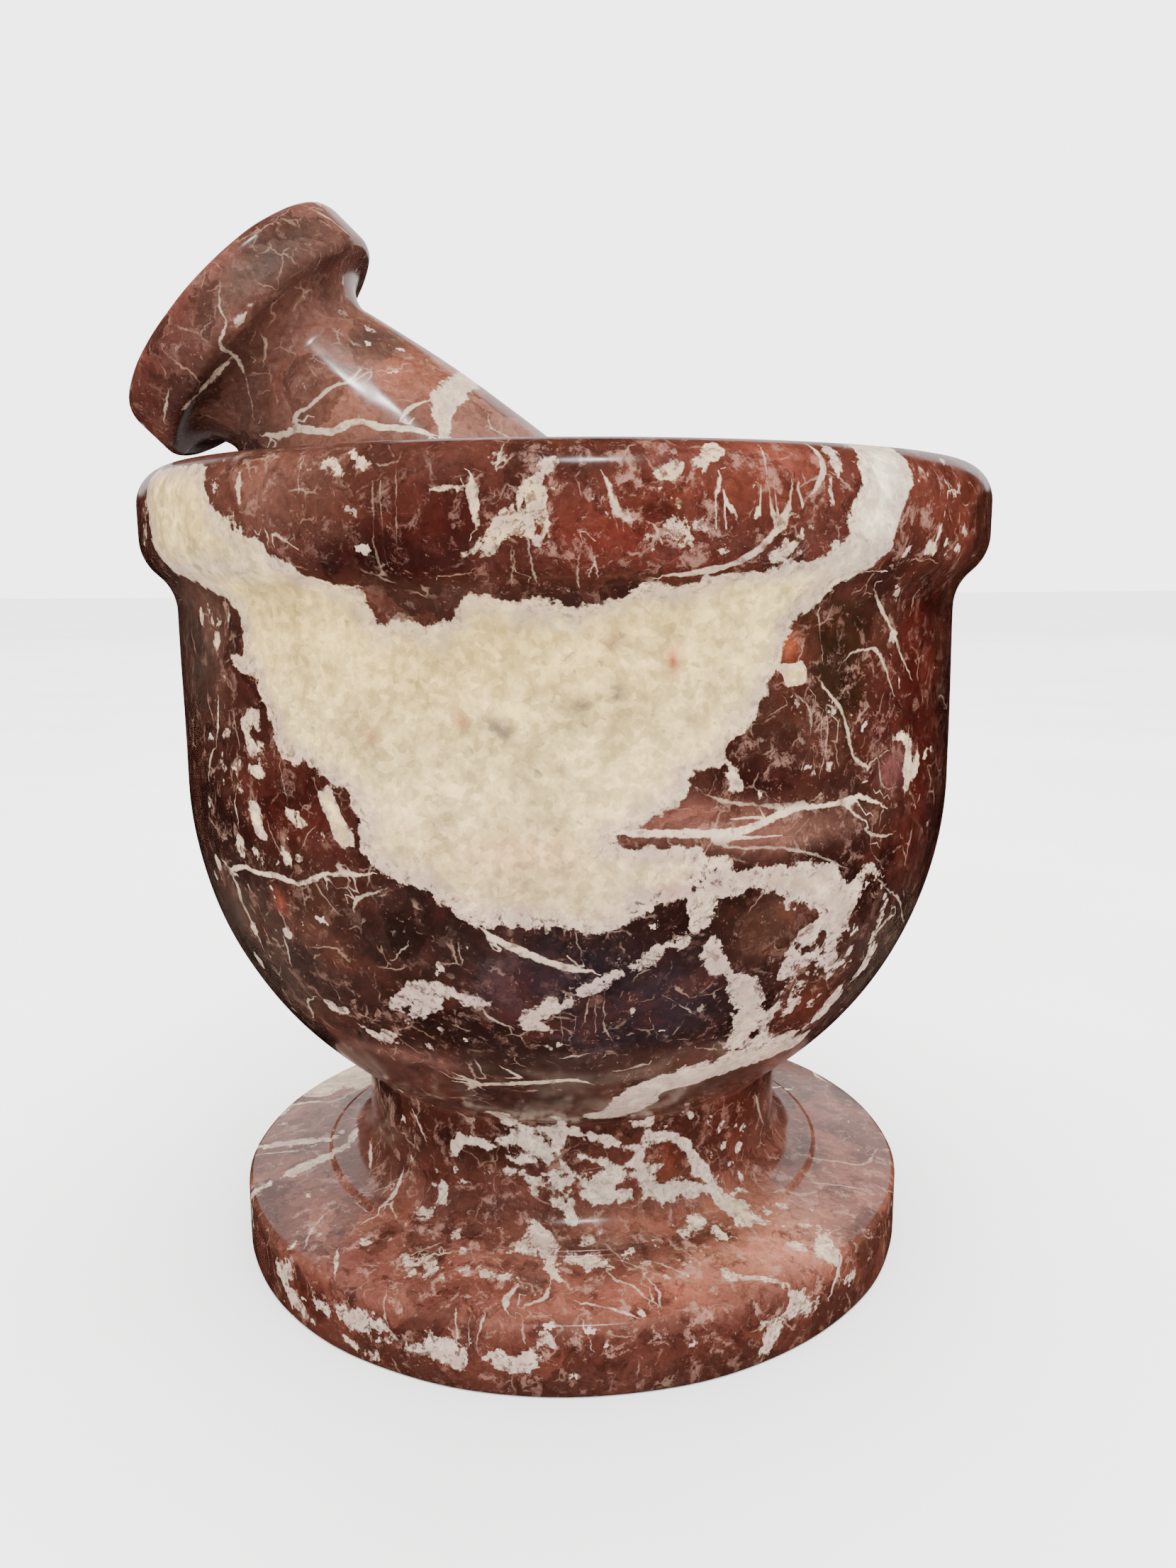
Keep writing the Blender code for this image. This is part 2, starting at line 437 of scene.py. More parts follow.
# Other broad pale bodies, as thick strokes: degrees, millimetres down, half-width
PALE_STROKES = [
    [(-45.8, 30.7, 0.7), (-42, 31.3, 0.8)],
    # clasts left of the cream
    [(-42.8, 37.4, 1.9), (-42.3, 39, 2), (-42.6, 41.6, 1.4)],
    [(-45.6, 41.2, 0.6), (-46.4, 43, 0.8), (-46.1, 44.7, 0.5)],
    # the net of pale stone at the lower right of the bowl
    [(15.1, 53.5, 1.6), (16.8, 57.7, 1.1), (18.6, 61.1, 1.1), (22.5, 64.5, 1.4), (25.5, 67.5, 1.9),
     (26.5, 71, 2), (25.8, 74, 1.4)],
    [(17, 51.8, 1.6), (24, 52.2, 1.7), (29.5, 53.2, 2.1), (34.5, 55.4, 2.6), (37.5, 58.5, 2.2),
     (32.5, 58.6, 1.4), (29.5, 61, 0.9), (32.5, 63, 0.8)],
    [(37, 56, 1.4), (41.5, 53.6, 1), (44.5, 54.4, 0.7)],
    [(32, 68.6, 0.4), (33.7, 65.6, 0.6), (35.5, 63.7, 0.9), (38.5, 64.2, 1.1), (39.8, 66.5, 0.8)],
    [(43.8, 54.2, 0.6), (46.7, 56.9, 0.8), (47.6, 60, 0.8), (47.3, 63, 0.8), (48.8, 65.3, 0.9),
     (48.1, 68, 1), (45, 69.9, 1), (44, 73, 1), (41, 75, 1.2)],
    [(30.4, 69, 0.7), (29.8, 72, 1), (31.5, 75, 1), (39, 75.6, 1.1)],
    [(35.2, 71.3, 0.7), (36.7, 72.1, 0.5), (38.4, 70.6, 0.25)],
    # the pale band that runs down under the bowl
    [(42.5, 78, 1.7), (37, 77.9, 2.1), (30, 77.8, 2.5), (23, 79, 2.7), (17, 80.2, 2.8), (13, 82, 2.8),
     (11.5, 85.5, 3.1), (9.5, 88.3, 2.6), (5.5, 89, 1.6)],
    # left and middle of the bowl's underside
    [(-25, 67.3, 0.5), (-22, 65.5, 1), (-19.5, 63.8, 1.1), (-16.5, 64.3, 0.8), (-13, 65, 0.5),
     (-10.5, 65.1, 0.2)],
    [(-22.5, 68.2, 0.3), (-20.2, 66.6, 1.3), (-17.6, 65.6, 1.1)],
    [(-16.6, 61.3, 0.45), (-17.6, 63, 0.35)],
    [(-33.6, 71.5, 0.5), (-30.5, 72.7, 0.9), (-27.5, 72, 0.8), (-24, 71.1, 0.6)],
    [(-23.6, 69.6, 0.5), (-18.2, 69.4, 0.35)], [(-22.4, 72.2, 0.5), (-21.2, 73, 0.6)],
    [(-38, 69.2, 0.4), (-35, 70.2, 0.6), (-33.4, 68.6, 0.4)],
    [(16.3, 57.9, 0.7), (12.2, 58.9, 1), (8.2, 60.2, 0.9), (5.3, 61.7, 0.8), (3, 63.4, 1), (-1, 65, 1),
     (-5, 67, 0.8), (-7.3, 68.2, 0.5)],
    [(-6.5, 68.2, 0.8), (-3.8, 68.8, 0.6)],
    # right side of the bowl
    [(45.3, 39.9, 0.7), (48.2, 39.9, 0.9), (49.2, 41.6, 0.9), (49.1, 43.6, 1.1)],
    [(48.2, 45.2, 0.7), (50.5, 43.9, 1.1), (53.5, 42.9, 0.7), (56.4, 41.9, 0.2)],
    [(52, 40.8, 0.3), (52.2, 43, 0.5)],
    # the white net round the neck
    [(-31.4, 98.2, 0.7), (-29.8, 96.6, 0.8), (-25, 96.2, 0.8), (-20, 96.2, 0.9), (-15.5, 95.2, 1.2),
     (-10.5, 95.3, 1.4), (-7, 96.7, 1), (-5, 99, 0.8), (-2.5, 100.7, 0.9), (-0.5, 102.5, 0.9)],
    [(-15.5, 98.4, 0.5), (-13.5, 97.5, 0.8), (-9, 97.6, 0.6)],
    [(-13, 93.6, 0.7), (-7, 93.6, 0.7), (-1, 93.6, 0.8), (5, 94.5, 0.7), (12, 95.8, 0.7),
     (16.5, 96.6, 0.8)],
    [(16.4, 98.4, 0.7), (18.1, 96.2, 0.8), (23.2, 95.6, 0.8), (27.6, 96.8, 0.9), (30.9, 98.4, 0.9),
     (33, 100.6, 0.9), (36.2, 102.6, 1), (38.8, 104.5, 1)],
    [(-3.6, 95.5, 0.7), (-1.5, 98.3, 0.5), (3, 100, 0.7), (7, 99.9, 0.8), (11.5, 99.2, 0.7),
     (15, 98.3, 0.8)],
    [(1.8, 97, 0.7), (7.9, 97.9, 0.7)],
    [(0, 101.7, 0.8), (6, 101.8, 1.2), (12, 102.2, 1.2), (18, 101.9, 1.1), (24, 102.7, 1.1),
     (30, 103.2, 1.1), (36, 103.9, 1)],
    [(-6.6, 102.4, 0.7), (-1.5, 103, 0.7), (0, 104.6, 0.8)], [(15.5, 93.6, 0.6), (19.5, 93.3, 0.5)],
    [(28.5, 93.1, 0.6), (31.5, 93.9, 0.6)], [(-16, 89.4, 1.3), (-15.3, 92.5, 1.3)],
    [(-3.3, 89, 0.7), (-2.6, 93, 0.8)], [(40.4, 97, 0.6), (42, 96.2, 0.5)],
    # what runs from the neck over the foot
    [(-8.6, 105.4, 1.2), (-7.6, 106.9, 1.6), (-5.7, 108.8, 1.6), (-4.4, 111.2, 1.2), (-3, 113.3, 0.9),
     (-1, 114.6, 0.3)],
    [(-14.5, 110.2, 0.6), (-11.5, 109.2, 0.7), (-8, 109.5, 0.5)],
    [(1.5, 107.8, 0.7), (3.5, 107, 1), (6, 106.3, 0.9)], [(-0.3, 110.6, 1), (3, 110.8, 0.9)],
    [(23.2, 108.8, 0.6), (27, 108.4, 1.1), (29, 107.2, 1.1), (30.2, 109.2, 0.8), (31, 110.8, 0.7)],
    [(37.2, 104.6, 1.4), (39.1, 107.3, 1.9), (39.4, 109.6, 1.5), (42.4, 112.5, 0.8), (46.2, 114.2, 0.8),
     (48.4, 115.9, 0.8), (46.6, 117.8, 1.3), (43.7, 119.5, 1.2)],
    [(40, 105.5, 0.7), (45, 106, 0.4)], [(33.5, 109.8, 0.4), (38.5, 110.4, 0.6)],
    [(40.5, 116.4, 0.7), (41.4, 118.8, 0.6)],
    [(25.4, 116.7, 0.6), (26.8, 117.4, 0.5), (29.5, 118.3, 0.4), (32.4, 119.8, 0.5), (33.6, 121.8, 1.1),
     (34.7, 123.4, 1), (31.2, 125, 0.9), (28.7, 127.3, 0.9)],
    [(19.1, 115, 0.5), (24.3, 115.7, 0.35)],
    [(-34.6, 102.7, 0.7), (-33.6, 104.8, 0.9), (-35.2, 106.7, 0.8), (-38.6, 106.2, 0.5)],
    # the foot's edge
    [(-3.6, 121.8, 0.6), (-2.4, 122.4, 0.7)],
    [(-53.6, 124.1, 0.8), (-51, 125.6, 1), (-46, 127, 1), (-42.9, 127.2, 0.6)],
    [(-49, 122.3, 0.5), (-50.5, 124.5, 0.6)],
    [(-37, 124.4, 0.6), (-32, 124.2, 0.7), (-28, 123.9, 0.7), (-24, 125.2, 0.9), (-20, 124.8, 1),
     (-17.3, 123.9, 0.9)],
    [(-35.5, 127.3, 0.8), (-30, 127.6, 0.6)], [(-13, 124.5, 0.8), (-8.5, 125.4, 0.9), (-6, 124.8, 0.7)],
    [(47.2, 124.2, 0.7), (49, 124.6, 0.5)],
    # left and rear of the foot
    [(-88, 106, 0.2), (-80, 106.7, 0.7), (-76.2, 108.8, 1), (-74.5, 112.8, 0.9), (-72.2, 117.8, 0.9),
     (-70.5, 120.5, 0.9), (-69.5, 124, 0.8)],
    [(-82.5, 108.2, 0.4), (-84.8, 111.7, 0.8), (-86.5, 115.5, 0.8), (-87.7, 119.5, 0.8),
     (-88.4, 124, 0.7)],
    # the front of the rim
    [(-37, 11.3, 0.5), (-36.9, 13, 0.75), (-36.8, 14.6, 0.4)], [(-25.6, 10.3, 0.6), (-24.4, 10.6, 0.6)],
    [(-22.6, 9.3, 0.4), (-20.5, 10.7, 0.45)],
    [(-10.1, 19.3, 0.45), (-7.4, 17.6, 0.6), (-4.5, 16.4, 0.75), (-2.1, 15.2, 0.55), (-0.9, 14.2, 0.4)],
    [(-0.8, 14.3, 0.45), (-1.6, 15.7, 0.5), (-2.1, 17.3, 0.4)],
    [(8, 13.9, 0.35), (9.5, 12.4, 0.5), (10.7, 11.6, 0.4)],
    [(12.2, 12.2, 0.4), (13.9, 10.9, 0.5), (15.1, 9.2, 0.5)],
    [(29.1, 8.5, 0.7), (28.8, 11.1, 0.75), (27.6, 13.7, 0.7), (25.6, 16, 0.75), (23.7, 17.8, 0.75),
     (21.4, 19.8, 0.7)],
    [(47, 11.7, 0.5), (49.1, 13.2, 0.55), (50.4, 15, 0.55), (51.9, 16.6, 0.45), (53.3, 17.3, 0.25)],
    [(46.8, 11.6, 0.4), (49.6, 11.7, 0.3)], [(-64, 13.7, 0.5), (-59, 13.6, 0.7)],
    [(-67, 17.9, 0.3), (-61, 16.9, 0.5)],
]

# Clasts of pale stone with crisp edges: their corners
CLASTS = [
    [(-31.4, 43.5), (-29.4, 42.9), (-26.2, 48.1), (-28.4, 49.2)],
    [(24.8, 31), (28.5, 30.5), (28.8, 32.6), (25.9, 33.2)],
    [(18.8, 41.6), (19.8, 41.2), (20.1, 42.9), (19.1, 43.1)],
    [(-44.3, 46.4), (-42.2, 45.8), (-41.6, 49), (-43, 49.4)],
]

# Small round clasts: degrees, millimetres down, radius
PALE_SPOTS = [
    (-50, 28.8, 0.8), (-51, 27.1, 0.5), (-49.2, 27, 0.45), (-52.1, 25.5, 0.4), (-54.8, 26.6, 0.6),
    (-53.2, 27.8, 0.35), (-48.8, 32.8, 0.4), (-49, 38.6, 0.55), (-51, 42.2, 0.7), (-53, 44.3, 0.65),
    (-42.9, 46.8, 0.75), (-42.7, 47.6, 0.6), (-41.6, 48.9, 0.55), (-38.1, 47.1, 0.45), (-37, 48.6, 0.4),
    (-36.4, 46.2, 0.35), (-56.4, 47.3, 0.5), (-47.4, 50.8, 1), (-43.8, 51.2, 0.45), (-42.4, 52, 0.4),
    (-37.3, 51, 0.8), (-35.1, 50.8, 0.6), (-32.2, 50.1, 0.35), (-34.3, 47, 0.25), (-30.7, 48.3, 0.25),
    (-55.7, 53.7, 0.55), (15.6, 18.9, 0.6), (11.4, 18.2, 0.4), (44, 18.6, 0.5), (45.4, 18.7, 0.4),
    (47.8, 18, 0.3), (-6.6, 10, 0.35), (-3.3, 13.3, 0.45), (-1.8, 11.4, 0.35), (-23.7, 11.5, 0.4),
    (18.8, 41, 0.35), (22.5, 43.3, 0.55), (19.3, 42.5, 0.35), (32.6, 41.6, 0.4), (34.7, 38.4, 0.35),
    (36, 35.7, 0.35), (46, 33.5, 0.4), (44.2, 28.4, 0.5), (19.6, 41.3, 0.25), (29.3, 43, 0.3),
    (31.6, 44.2, 0.5), (7.4, 44, 0.3), (18, 66.1, 0.25), (12.8, 74.1, 0.4), (-12.8, 58.7, 0.4),
    (-40.7, 60.3, 0.45), (-49.1, 61.5, 0.4), (-48.3, 64.7, 0.5), (-53.9, 66.4, 0.9), (-58.9, 56.5, 0.7),
    (48.8, 100.7, 0.7), (47.4, 97.6, 0.5), (41.1, 93, 0.4), (46.9, 104.2, 0.6), (-37.4, 103.4, 0.5),
    (-37, 101.5, 0.4), (-46.4, 101.2, 0.4), (-41.1, 114, 0.6), (-42.6, 114.6, 0.4), (-62.7, 114.5, 0.35),
    (-15.5, 113.4, 0.6), (-14.6, 113.3, 0.5), (-17.3, 111.7, 0.3), (-27.6, 118.4, 0.45),
    (-25.8, 113.6, 0.4), (-49.6, 116.6, 0.35), (-53, 118.4, 0.4), (-50.3, 119.5, 0.35),
    (48.8, 110.8, 0.8), (35.6, 108, 0.4),
]

# Dark islands in the pale bodies: degrees, millimetres down, two half-sizes
ISLANDS = [
    (-42.6, 38, 0.9, 0.8), (-42.6, 41.2, 0.5, 0.45), (24.7, 58.6, 3.6, 2.7), (20.6, 56.8, 1.4, 1.1),
    (21.6, 53.7, 1, 0.5), (19.4, 54.6, 0.7, 0.6), (26.6, 61.8, 1.6, 1), (37.7, 71.2, 3.6, 3),
    (35.4, 66.9, 1.6, 1.6), (44.3, 60.5, 0.9, 3.6), (44.8, 66.8, 1.1, 2), (41.8, 57.3, 1.2, 1.3),
    (40.2, 62.2, 1.6, 1.2), (28.6, 73, 0.9, 1), (19, 58.8, 0.5, 0.7), (33.5, 61, 0.7, 0.5),
    (22.5, 98.8, 2.4, 1.5), (26.5, 100.3, 1.5, 0.9), (11.6, 97.8, 0.9, 0.8), (-2.5, 96.6, 0.6, 1),
    (-7.8, 98.6, 0.7, 0.5), (-15, 98.2, 0.6, 0.4), (-8.7, 101, 1.4, 0.8), (27.8, 101.5, 0.8, 0.7),
    (-0.3, 101.5, 0.7, 0.6), (16.1, 102, 0.6, 0.7), (20, 104, 1.6, 0.5), (-3.2, 104.2, 1, 0.8),
    (-10.4, 91.2, 0.6, 1.2), (-10.8, 106.8, 0.5, 0.4), (3.8, 98.8, 1.8, 0.35), (3.6, 96.2, 1.2, 0.3),
    (-14.6, 91, 0.3, 1),
]

# Thin veins: half-width in millimetres, whiteness, then degrees and millimetres down
VEINS = [
    # rim
    (0.35, 0.8, (26.9, 8.5), (27.1, 11.1), (26.1, 13), (24.2, 15), (21.7, 16.8), (19.4, 18.8),
     (17.4, 20.1), (13, 21.3), (10, 21.6)),
    (0.14, 0.8, (-23.7, 16.4), (-20, 15.1), (-16.2, 13.8), (-12.8, 13.3), (-9.6, 13)),
    (0.08, 0.35, (-16.9, 9.4), (-16.9, 14), (-17.1, 19.8)), (0.07, 0.3, (-19.4, 13), (-19.6, 20)),
    (0.3, 0.9, (-9.4, 12.3), (-8.4, 13.9), (-6.6, 15.1), (-8.9, 16.9)),
    (0.22, 0.85, (-35.1, 14.9), (-34.4, 16.7)), (0.22, 0.8, (-33.2, 15.2), (-32.7, 17.4)),
    (0.15, 0.7, (-28.3, 11), (-28.1, 14)), (0.35, 0.6, (-31.5, 17), (-29.3, 18.2)),
    (0.2, 0.8, (-6.7, 11), (-6.3, 8.5)), (0.2, 0.9, (3.8, 12.4), (4.4, 14), (5, 15.7)),
    (0.25, 0.9, (5.8, 15.2), (7.5, 15.1), (9.2, 15.5)), (0.28, 0.9, (10.9, 14.5), (11.9, 16.5)),
    (0.3, 0.9, (13.4, 15.2), (14.1, 16.3)), (0.22, 0.9, (15.1, 12.4), (14.8, 14), (15.3, 15.5)),
    (0.22, 0.9, (16.3, 15.3), (17.3, 16.3), (18.8, 16.1), (19.2, 14.3)),
    (0.18, 0.7, (0.6, 16.3), (4.1, 16.5), (8, 16.4), (9, 17.6)), (0.12, 0.6, (22.9, 13.4), (23.2, 15)),
    (0.25, 0.8, (2.6, 19.2), (2.8, 20.6)), (0.3, 0.9, (47.5, 13.5), (46.7, 15.3), (45.5, 17.8)),
    (0.22, 0.8, (46.7, 15.3), (44.5, 14)), (0.22, 0.8, (35.7, 21.3), (38.1, 21.4)),
    (0.14, 0.5, (-3.8, 17.5), (-3.4, 21.5)), (0.12, 0.5, (-5.4, 17.8), (-5.6, 22)),
    (0.12, 0.5, (1.2, 18.4), (1, 22.5)), (0.1, 0.4, (-13, 21.5), (-10, 21)),
    (0.12, 0.6, (20.4, 9.5), (20.2, 12.6)),
    # upper right of the bowl
    (0.2, 0.75, (38.4, 23.5), (40.3, 25.1), (42.3, 26.8), (44, 28.4), (45.7, 30.3), (47, 31.7),
     (48.8, 33)),
    (0.15, 0.7, (34.2, 31), (35.8, 30.1), (39.1, 29.8), (40.9, 30.3), (42.8, 32.4), (44.6, 34.8)),
    (0.12, 0.5, (30.1, 26), (30.9, 29.6)),
    (0.2, 0.7, (30.9, 32.9), (32.6, 34.3), (34.4, 35.8), (35.6, 38.3), (36.7, 40.8), (40, 42.3)),
    (0.1, 0.45, (29.8, 36.5), (28.8, 40.6)), (0.1, 0.45, (31.8, 34.5), (32.1, 38.5), (31.4, 41.5)),
    (0.1, 0.4, (26.5, 33.6), (29, 34.9), (29.8, 37)), (0.09, 0.4, (23.3, 35.8), (26, 34.8)),
    (0.12, 0.5, (40.1, 41.6), (43.2, 40.8)), (0.1, 0.45, (42, 42), (42.6, 44.4), (45.4, 45)),
    # the white vein across the right of the bowl, and its branches
    (0.42, 0.95, (5.5, 46.4), (9.3, 46.6), (14, 46.8), (18.6, 47.1), (21.9, 46.7), (25.6, 45.6),
     (29.8, 45.1)),
    (0.3, 0.9, (28.5, 45.3), (34.4, 45.3), (38.1, 45), (40, 45.6), (43.3, 46.6)),
    (0.2, 0.8, (33.7, 45.5), (35.6, 45.8), (37.2, 46.7), (39.3, 47.9)),
    (0.14, 0.6, (39.5, 48.8), (41.9, 49.7), (46, 50.1)), (0.1, 0.45, (41.7, 51.6), (44.5, 53.6)),
    (0.14, 0.55, (44.1, 55), (47.6, 56.9), (51.9, 58.8), (55.9, 61.5), (59.4, 63.4)),
    (0.3, 0.7, (47.6, 62.6), (49.7, 61.2), (51.7, 60.9)),
    (0.14, 0.5, (14.8, 42.6), (18, 43.9), (24, 44.7), (29, 44.6)),
    (0.14, 0.5, (15, 47.6), (20, 48.6), (26, 49.2), (31.5, 50.6), (36, 52.3)),
    # left of the bowl
    (0.28, 0.85, (-53.2, 53.5), (-51.4, 54.4), (-49.9, 53.8), (-46.7, 53.2), (-43.8, 53.5), (-40.2, 53.2),
     (-36.6, 53.6), (-33.7, 53), (-31.5, 52.1), (-28.6, 51.8), (-24.3, 51.3)),
    (0.25, 0.6, (-52.2, 54.5), (-50.3, 56), (-50.7, 57.9), (-49.3, 60.4), (-49.1, 63)),
    (0.12, 0.6, (-30, 52.5), (-28.9, 50.8), (-27.5, 51), (-27.8, 53), (-29.3, 53.2)),
    (0.25, 0.7, (-53.2, 40.9), (-54.3, 42), (-55.4, 44)), (0.28, 0.8, (-51, 35.8), (-51.6, 38.6)),
    (0.14, 0.6, (-51.6, 38.6), (-52.2, 40.6)), (0.25, 0.7, (-47.7, 46), (-47, 48.2)),
    (0.12, 0.6, (-47, 44.6), (-47.8, 46.4)), (0.16, 0.6, (-23, 53), (-26.4, 54.1), (-27.2, 54.9)),
    (0.16, 0.6, (-20.6, 59), (-22.7, 60.7)), (0.25, 0.6, (-41.7, 61.6), (-42.3, 63.9)),
    (0.22, 0.6, (-41.1, 69.1), (-43.6, 70.2), (-44.4, 71.9), (-45.6, 73)),
    (0.12, 0.4, (-35.1, 65.6), (-34.4, 67.9)), (0.1, 0.4, (-37.6, 41), (-36.6, 44.5)),
    # underside of the bowl
    (0.4, 0.85, (-10.4, 56.6), (-9.3, 57.3), (-6.4, 58.6), (-3.3, 59.8), (-0.4, 60.7), (2.5, 61.2)),
    (0.25, 0.7, (-10.7, 56.3), (-9.4, 58.2)), (0.15, 0.6, (-12, 65.1), (-11, 67.4), (-8.6, 68.6)),
    (0.33, 0.7, (-19, 79.9), (-16, 80), (-13, 79.5), (-7.3, 78.7), (-3, 78.1), (-0.4, 77.9), (2.5, 78.6)),
    (0.3, 0.6, (-18.8, 78.2), (-16.1, 79.8), (-18.6, 81.6)), (0.3, 0.7, (-10.5, 75.8), (-7.9, 77.6)),
    (0.12, 0.5, (-14.6, 75.3), (-14.2, 78)), (0.1, 0.5, (4.2, 64.5), (4.5, 68.8), (5.9, 71)),
    (0.12, 0.5, (12.2, 64.9), (16.3, 67.4)), (0.08, 0.4, (10.8, 68.4), (12.2, 70.7)),
    (0.1, 0.5, (0.5, 56.7), (1.3, 59.4)), (0.1, 0.5, (2.2, 64.8), (1.8, 68)),
    (0.1, 0.4, (-1.6, 66.5), (-1.2, 70)), (0.3, 0.5, (7.6, 76.4), (11, 75.6)),
    (0.3, 0.5, (19.5, 73.6), (22, 74.4)), (0.25, 0.5, (-0.6, 73.3), (1.4, 73.1)),
    # neck and foot
    (0.3, 0.5, (58.4, 95.8), (60.5, 98), (64, 100.4)), (0.4, 0.7, (-44.6, 95.2), (-41.6, 97.2)),
    (0.3, 0.8, (-70, 104.2), (-65, 105), (-61.3, 105.9)),
    (0.3, 0.8, (-48.9, 103.6), (-47.6, 106), (-45.7, 109)),
    (0.2, 0.8, (-48, 105.6), (-44.6, 107.8), (-40.6, 109)),
    (0.12, 0.5, (-50.4, 105.4), (-53, 108), (-55, 110)), (0.25, 0.8, (-45.2, 109.9), (-45.7, 111.8)),
    (0.12, 0.5, (-56, 110.2), (-48, 110.4)), (0.22, 0.8, (-26.6, 111.6), (-27.6, 113.4), (-29, 114.4)),
    (0.2, 0.8, (-24.4, 111.4), (-28, 112.8)), (0.12, 0.6, (-30.4, 113), (-28.8, 111.6), (-27.2, 110)),
    (0.25, 0.8, (-42.9, 117.2), (-41, 118.4), (-38.9, 119.8)),
    (0.18, 0.6, (-54, 114.6), (-51.5, 117), (-48.8, 118.8)),
    (0.4, 0.85, (-9.8, 115.4), (-10.6, 117), (-10.1, 118.4)),
    (0.3, 0.8, (-4.2, 115), (-4.8, 116.6), (-7, 117.6)),
    (0.22, 0.8, (1.2, 117.3), (5, 118.2), (8.7, 119.8)),
    (0.15, 0.7, (12.6, 114.5), (13.4, 116.6), (12.8, 119)),
    (0.15, 0.7, (5.6, 112), (7, 114), (10, 115.4), (11.4, 118)), (0.14, 0.6, (9, 111), (12, 112.6)),
    (0.14, 0.6, (16, 112.4), (19, 114.6)), (0.2, 0.5, (61, 111), (64, 114.6), (66, 118)),
    (0.2, 0.5, (70, 108), (72, 111), (73.5, 114), (75, 116.8), (82, 118.5)),
    (0.3, 0.4, (51, 108.5), (54, 109.6), (55.5, 111.4), (59, 112.6)),
    (0.35, 0.8, (45, 121), (43.8, 122.8), (42.4, 124.6)), (0.25, 0.7, (1.2, 120.4), (2.4, 123)),
    (0.3, 0.8, (-82.8, 115.1), (-84, 119.2)), (0.2, 0.4, (53, 121), (59, 123.2)),
    (0.2, 0.7, (-17, 120), (-16.4, 122.6)), (0.2, 0.7, (-13, 120.2), (-13.6, 123)),
    (0.2, 0.6, (-28.6, 120.2), (-28, 122.6)), (0.2, 0.6, (-7.4, 119.9), (-7, 122)),
]

# Soft patches of other ground colours, some of them painted light and shade: degrees, millimetres down,
# two sizes, colour, strength
GROUND_TONES_AND_PAINTED_LIGHT = [
    # The first patch on the next line, dark round the bowl's lower half, is painted shade.
    (0, 58, 200, 25, (54, 32, 27), 0.85), (18, 46, 9, 2.2, (138, 98, 86), 0.8),
    # The first patch on the next line, lighter over the foot's top, is painted light.
    (0, 114, 120, 9, (142, 104, 92), 0.85), (-30, 13, 14, 5, TAN, 0.4), (-14, 15.5, 7, 4.5, MAROON, 1),
    (-22, 19, 8, 3, MAROON, 0.95), (6, 18, 8, 3, RED, 0.8), (18, 12, 9, 4, BRICK, 0.5),
    (48, 14, 9, 6, BRICK, 0.55), (-14, 24, 8, 2, BROWN, 0.6), (-57, 28, 8, 9, SLATE, 0.7),
    (-42, 33, 6, 5, MAROON, 0.6), (-34, 43, 4, 3, MAROON, 0.9), (-38, 47, 7, 4, DEEP_RED, 0.8),
    (-30, 50, 4, 4, DEEP_RED, 0.6), (34, 30, 4, 5, OLIVE, 0.9), (33, 36, 12, 9, (62, 38, 31), 0.6),
    (26, 29, 1.2, 1.6, (140, 84, 54), 0.8), (30, 38, 6, 5, BROWN, 0.7), (24, 42, 6, 2, MAROON, 0.7),
    (52, 32, 7, 11, DEEP_RED, 0.9), (42, 38, 5, 4, RED, 0.35),
    (44.7, 42.6, 2.6, 2.2, (128, 90, 86), 0.7), (28, 47.6, 10, 1.6, TAN, 0.8),
    (50, 52, 7, 6, DEEP_RED, 0.7), (-2, 62, 9, 7, PURPLE, 0.95), (12, 67, 9, 6, PURPLE, 1),
    (-24, 60, 16, 8, (62, 44, 38), 0.8), (-5, 75, 26, 6, (44, 33, 30), 0.95), (54, 68, 9, 8, SLATE, 0.8),
    (-53, 64, 12, 10, SLATE, 0.7), (-33, 57, 3, 5, BROWN, 0.6), (-40.4, 56.3, 0.9, 1.3, BRICK, 0.9),
    (-30, 76, 8, 1.5, (112, 82, 76), 0.7), (-10, 83, 30, 5, (56, 38, 32), 0.85),
    (25, 58.6, 5, 4, BROWN, 0.9), (38, 71, 5, 4, (92, 52, 42), 0.9),
    (23, 98.8, 4, 3, (108, 60, 46), 0.7), (45, 97, 9, 7, (84, 44, 34), 0.85),
    (-35, 97, 13, 7, (66, 38, 32), 0.9), (-18, 101, 8, 3, (112, 74, 64), 0.7),
    (6, 115, 30, 5, (122, 76, 66), 0.6), (16, 116.5, 6, 2.5, (150, 98, 84), 0.8),
    (60, 112, 20, 8, (128, 80, 68), 0.7), (75, 108, 5, 3, SLATE, 0.6), (54, 110, 4, 2.5, SLATE, 0.5),
    # Both patches on the next line, lighter over the foot's top at its left and front right, are painted
    # light.
    (-60, 113, 20, 6, (124, 84, 72), 0.7), (36, 113, 16, 6, (176, 132, 114), 0.8),
    (12, 110, 7, 3, OLIVE, 0.6), (-37, 117, 6, 3, (98, 66, 60), 0.7),
    (26, 110, 7, 2.2, (80, 40, 32), 0.75), (-14, 114, 6, 2.2, (92, 52, 44), 0.65),
    (7, 112.5, 5, 1.8, (88, 48, 40), 0.65), (-22, 109, 5, 1.6, (84, 46, 38), 0.6),
    (0, 124, 60, 3.2, (94, 58, 48), 0.85), (-43, 124, 4, 3, RED, 0.5),
    (-84, 112, 9, 8, (104, 78, 68), 0.6),
]
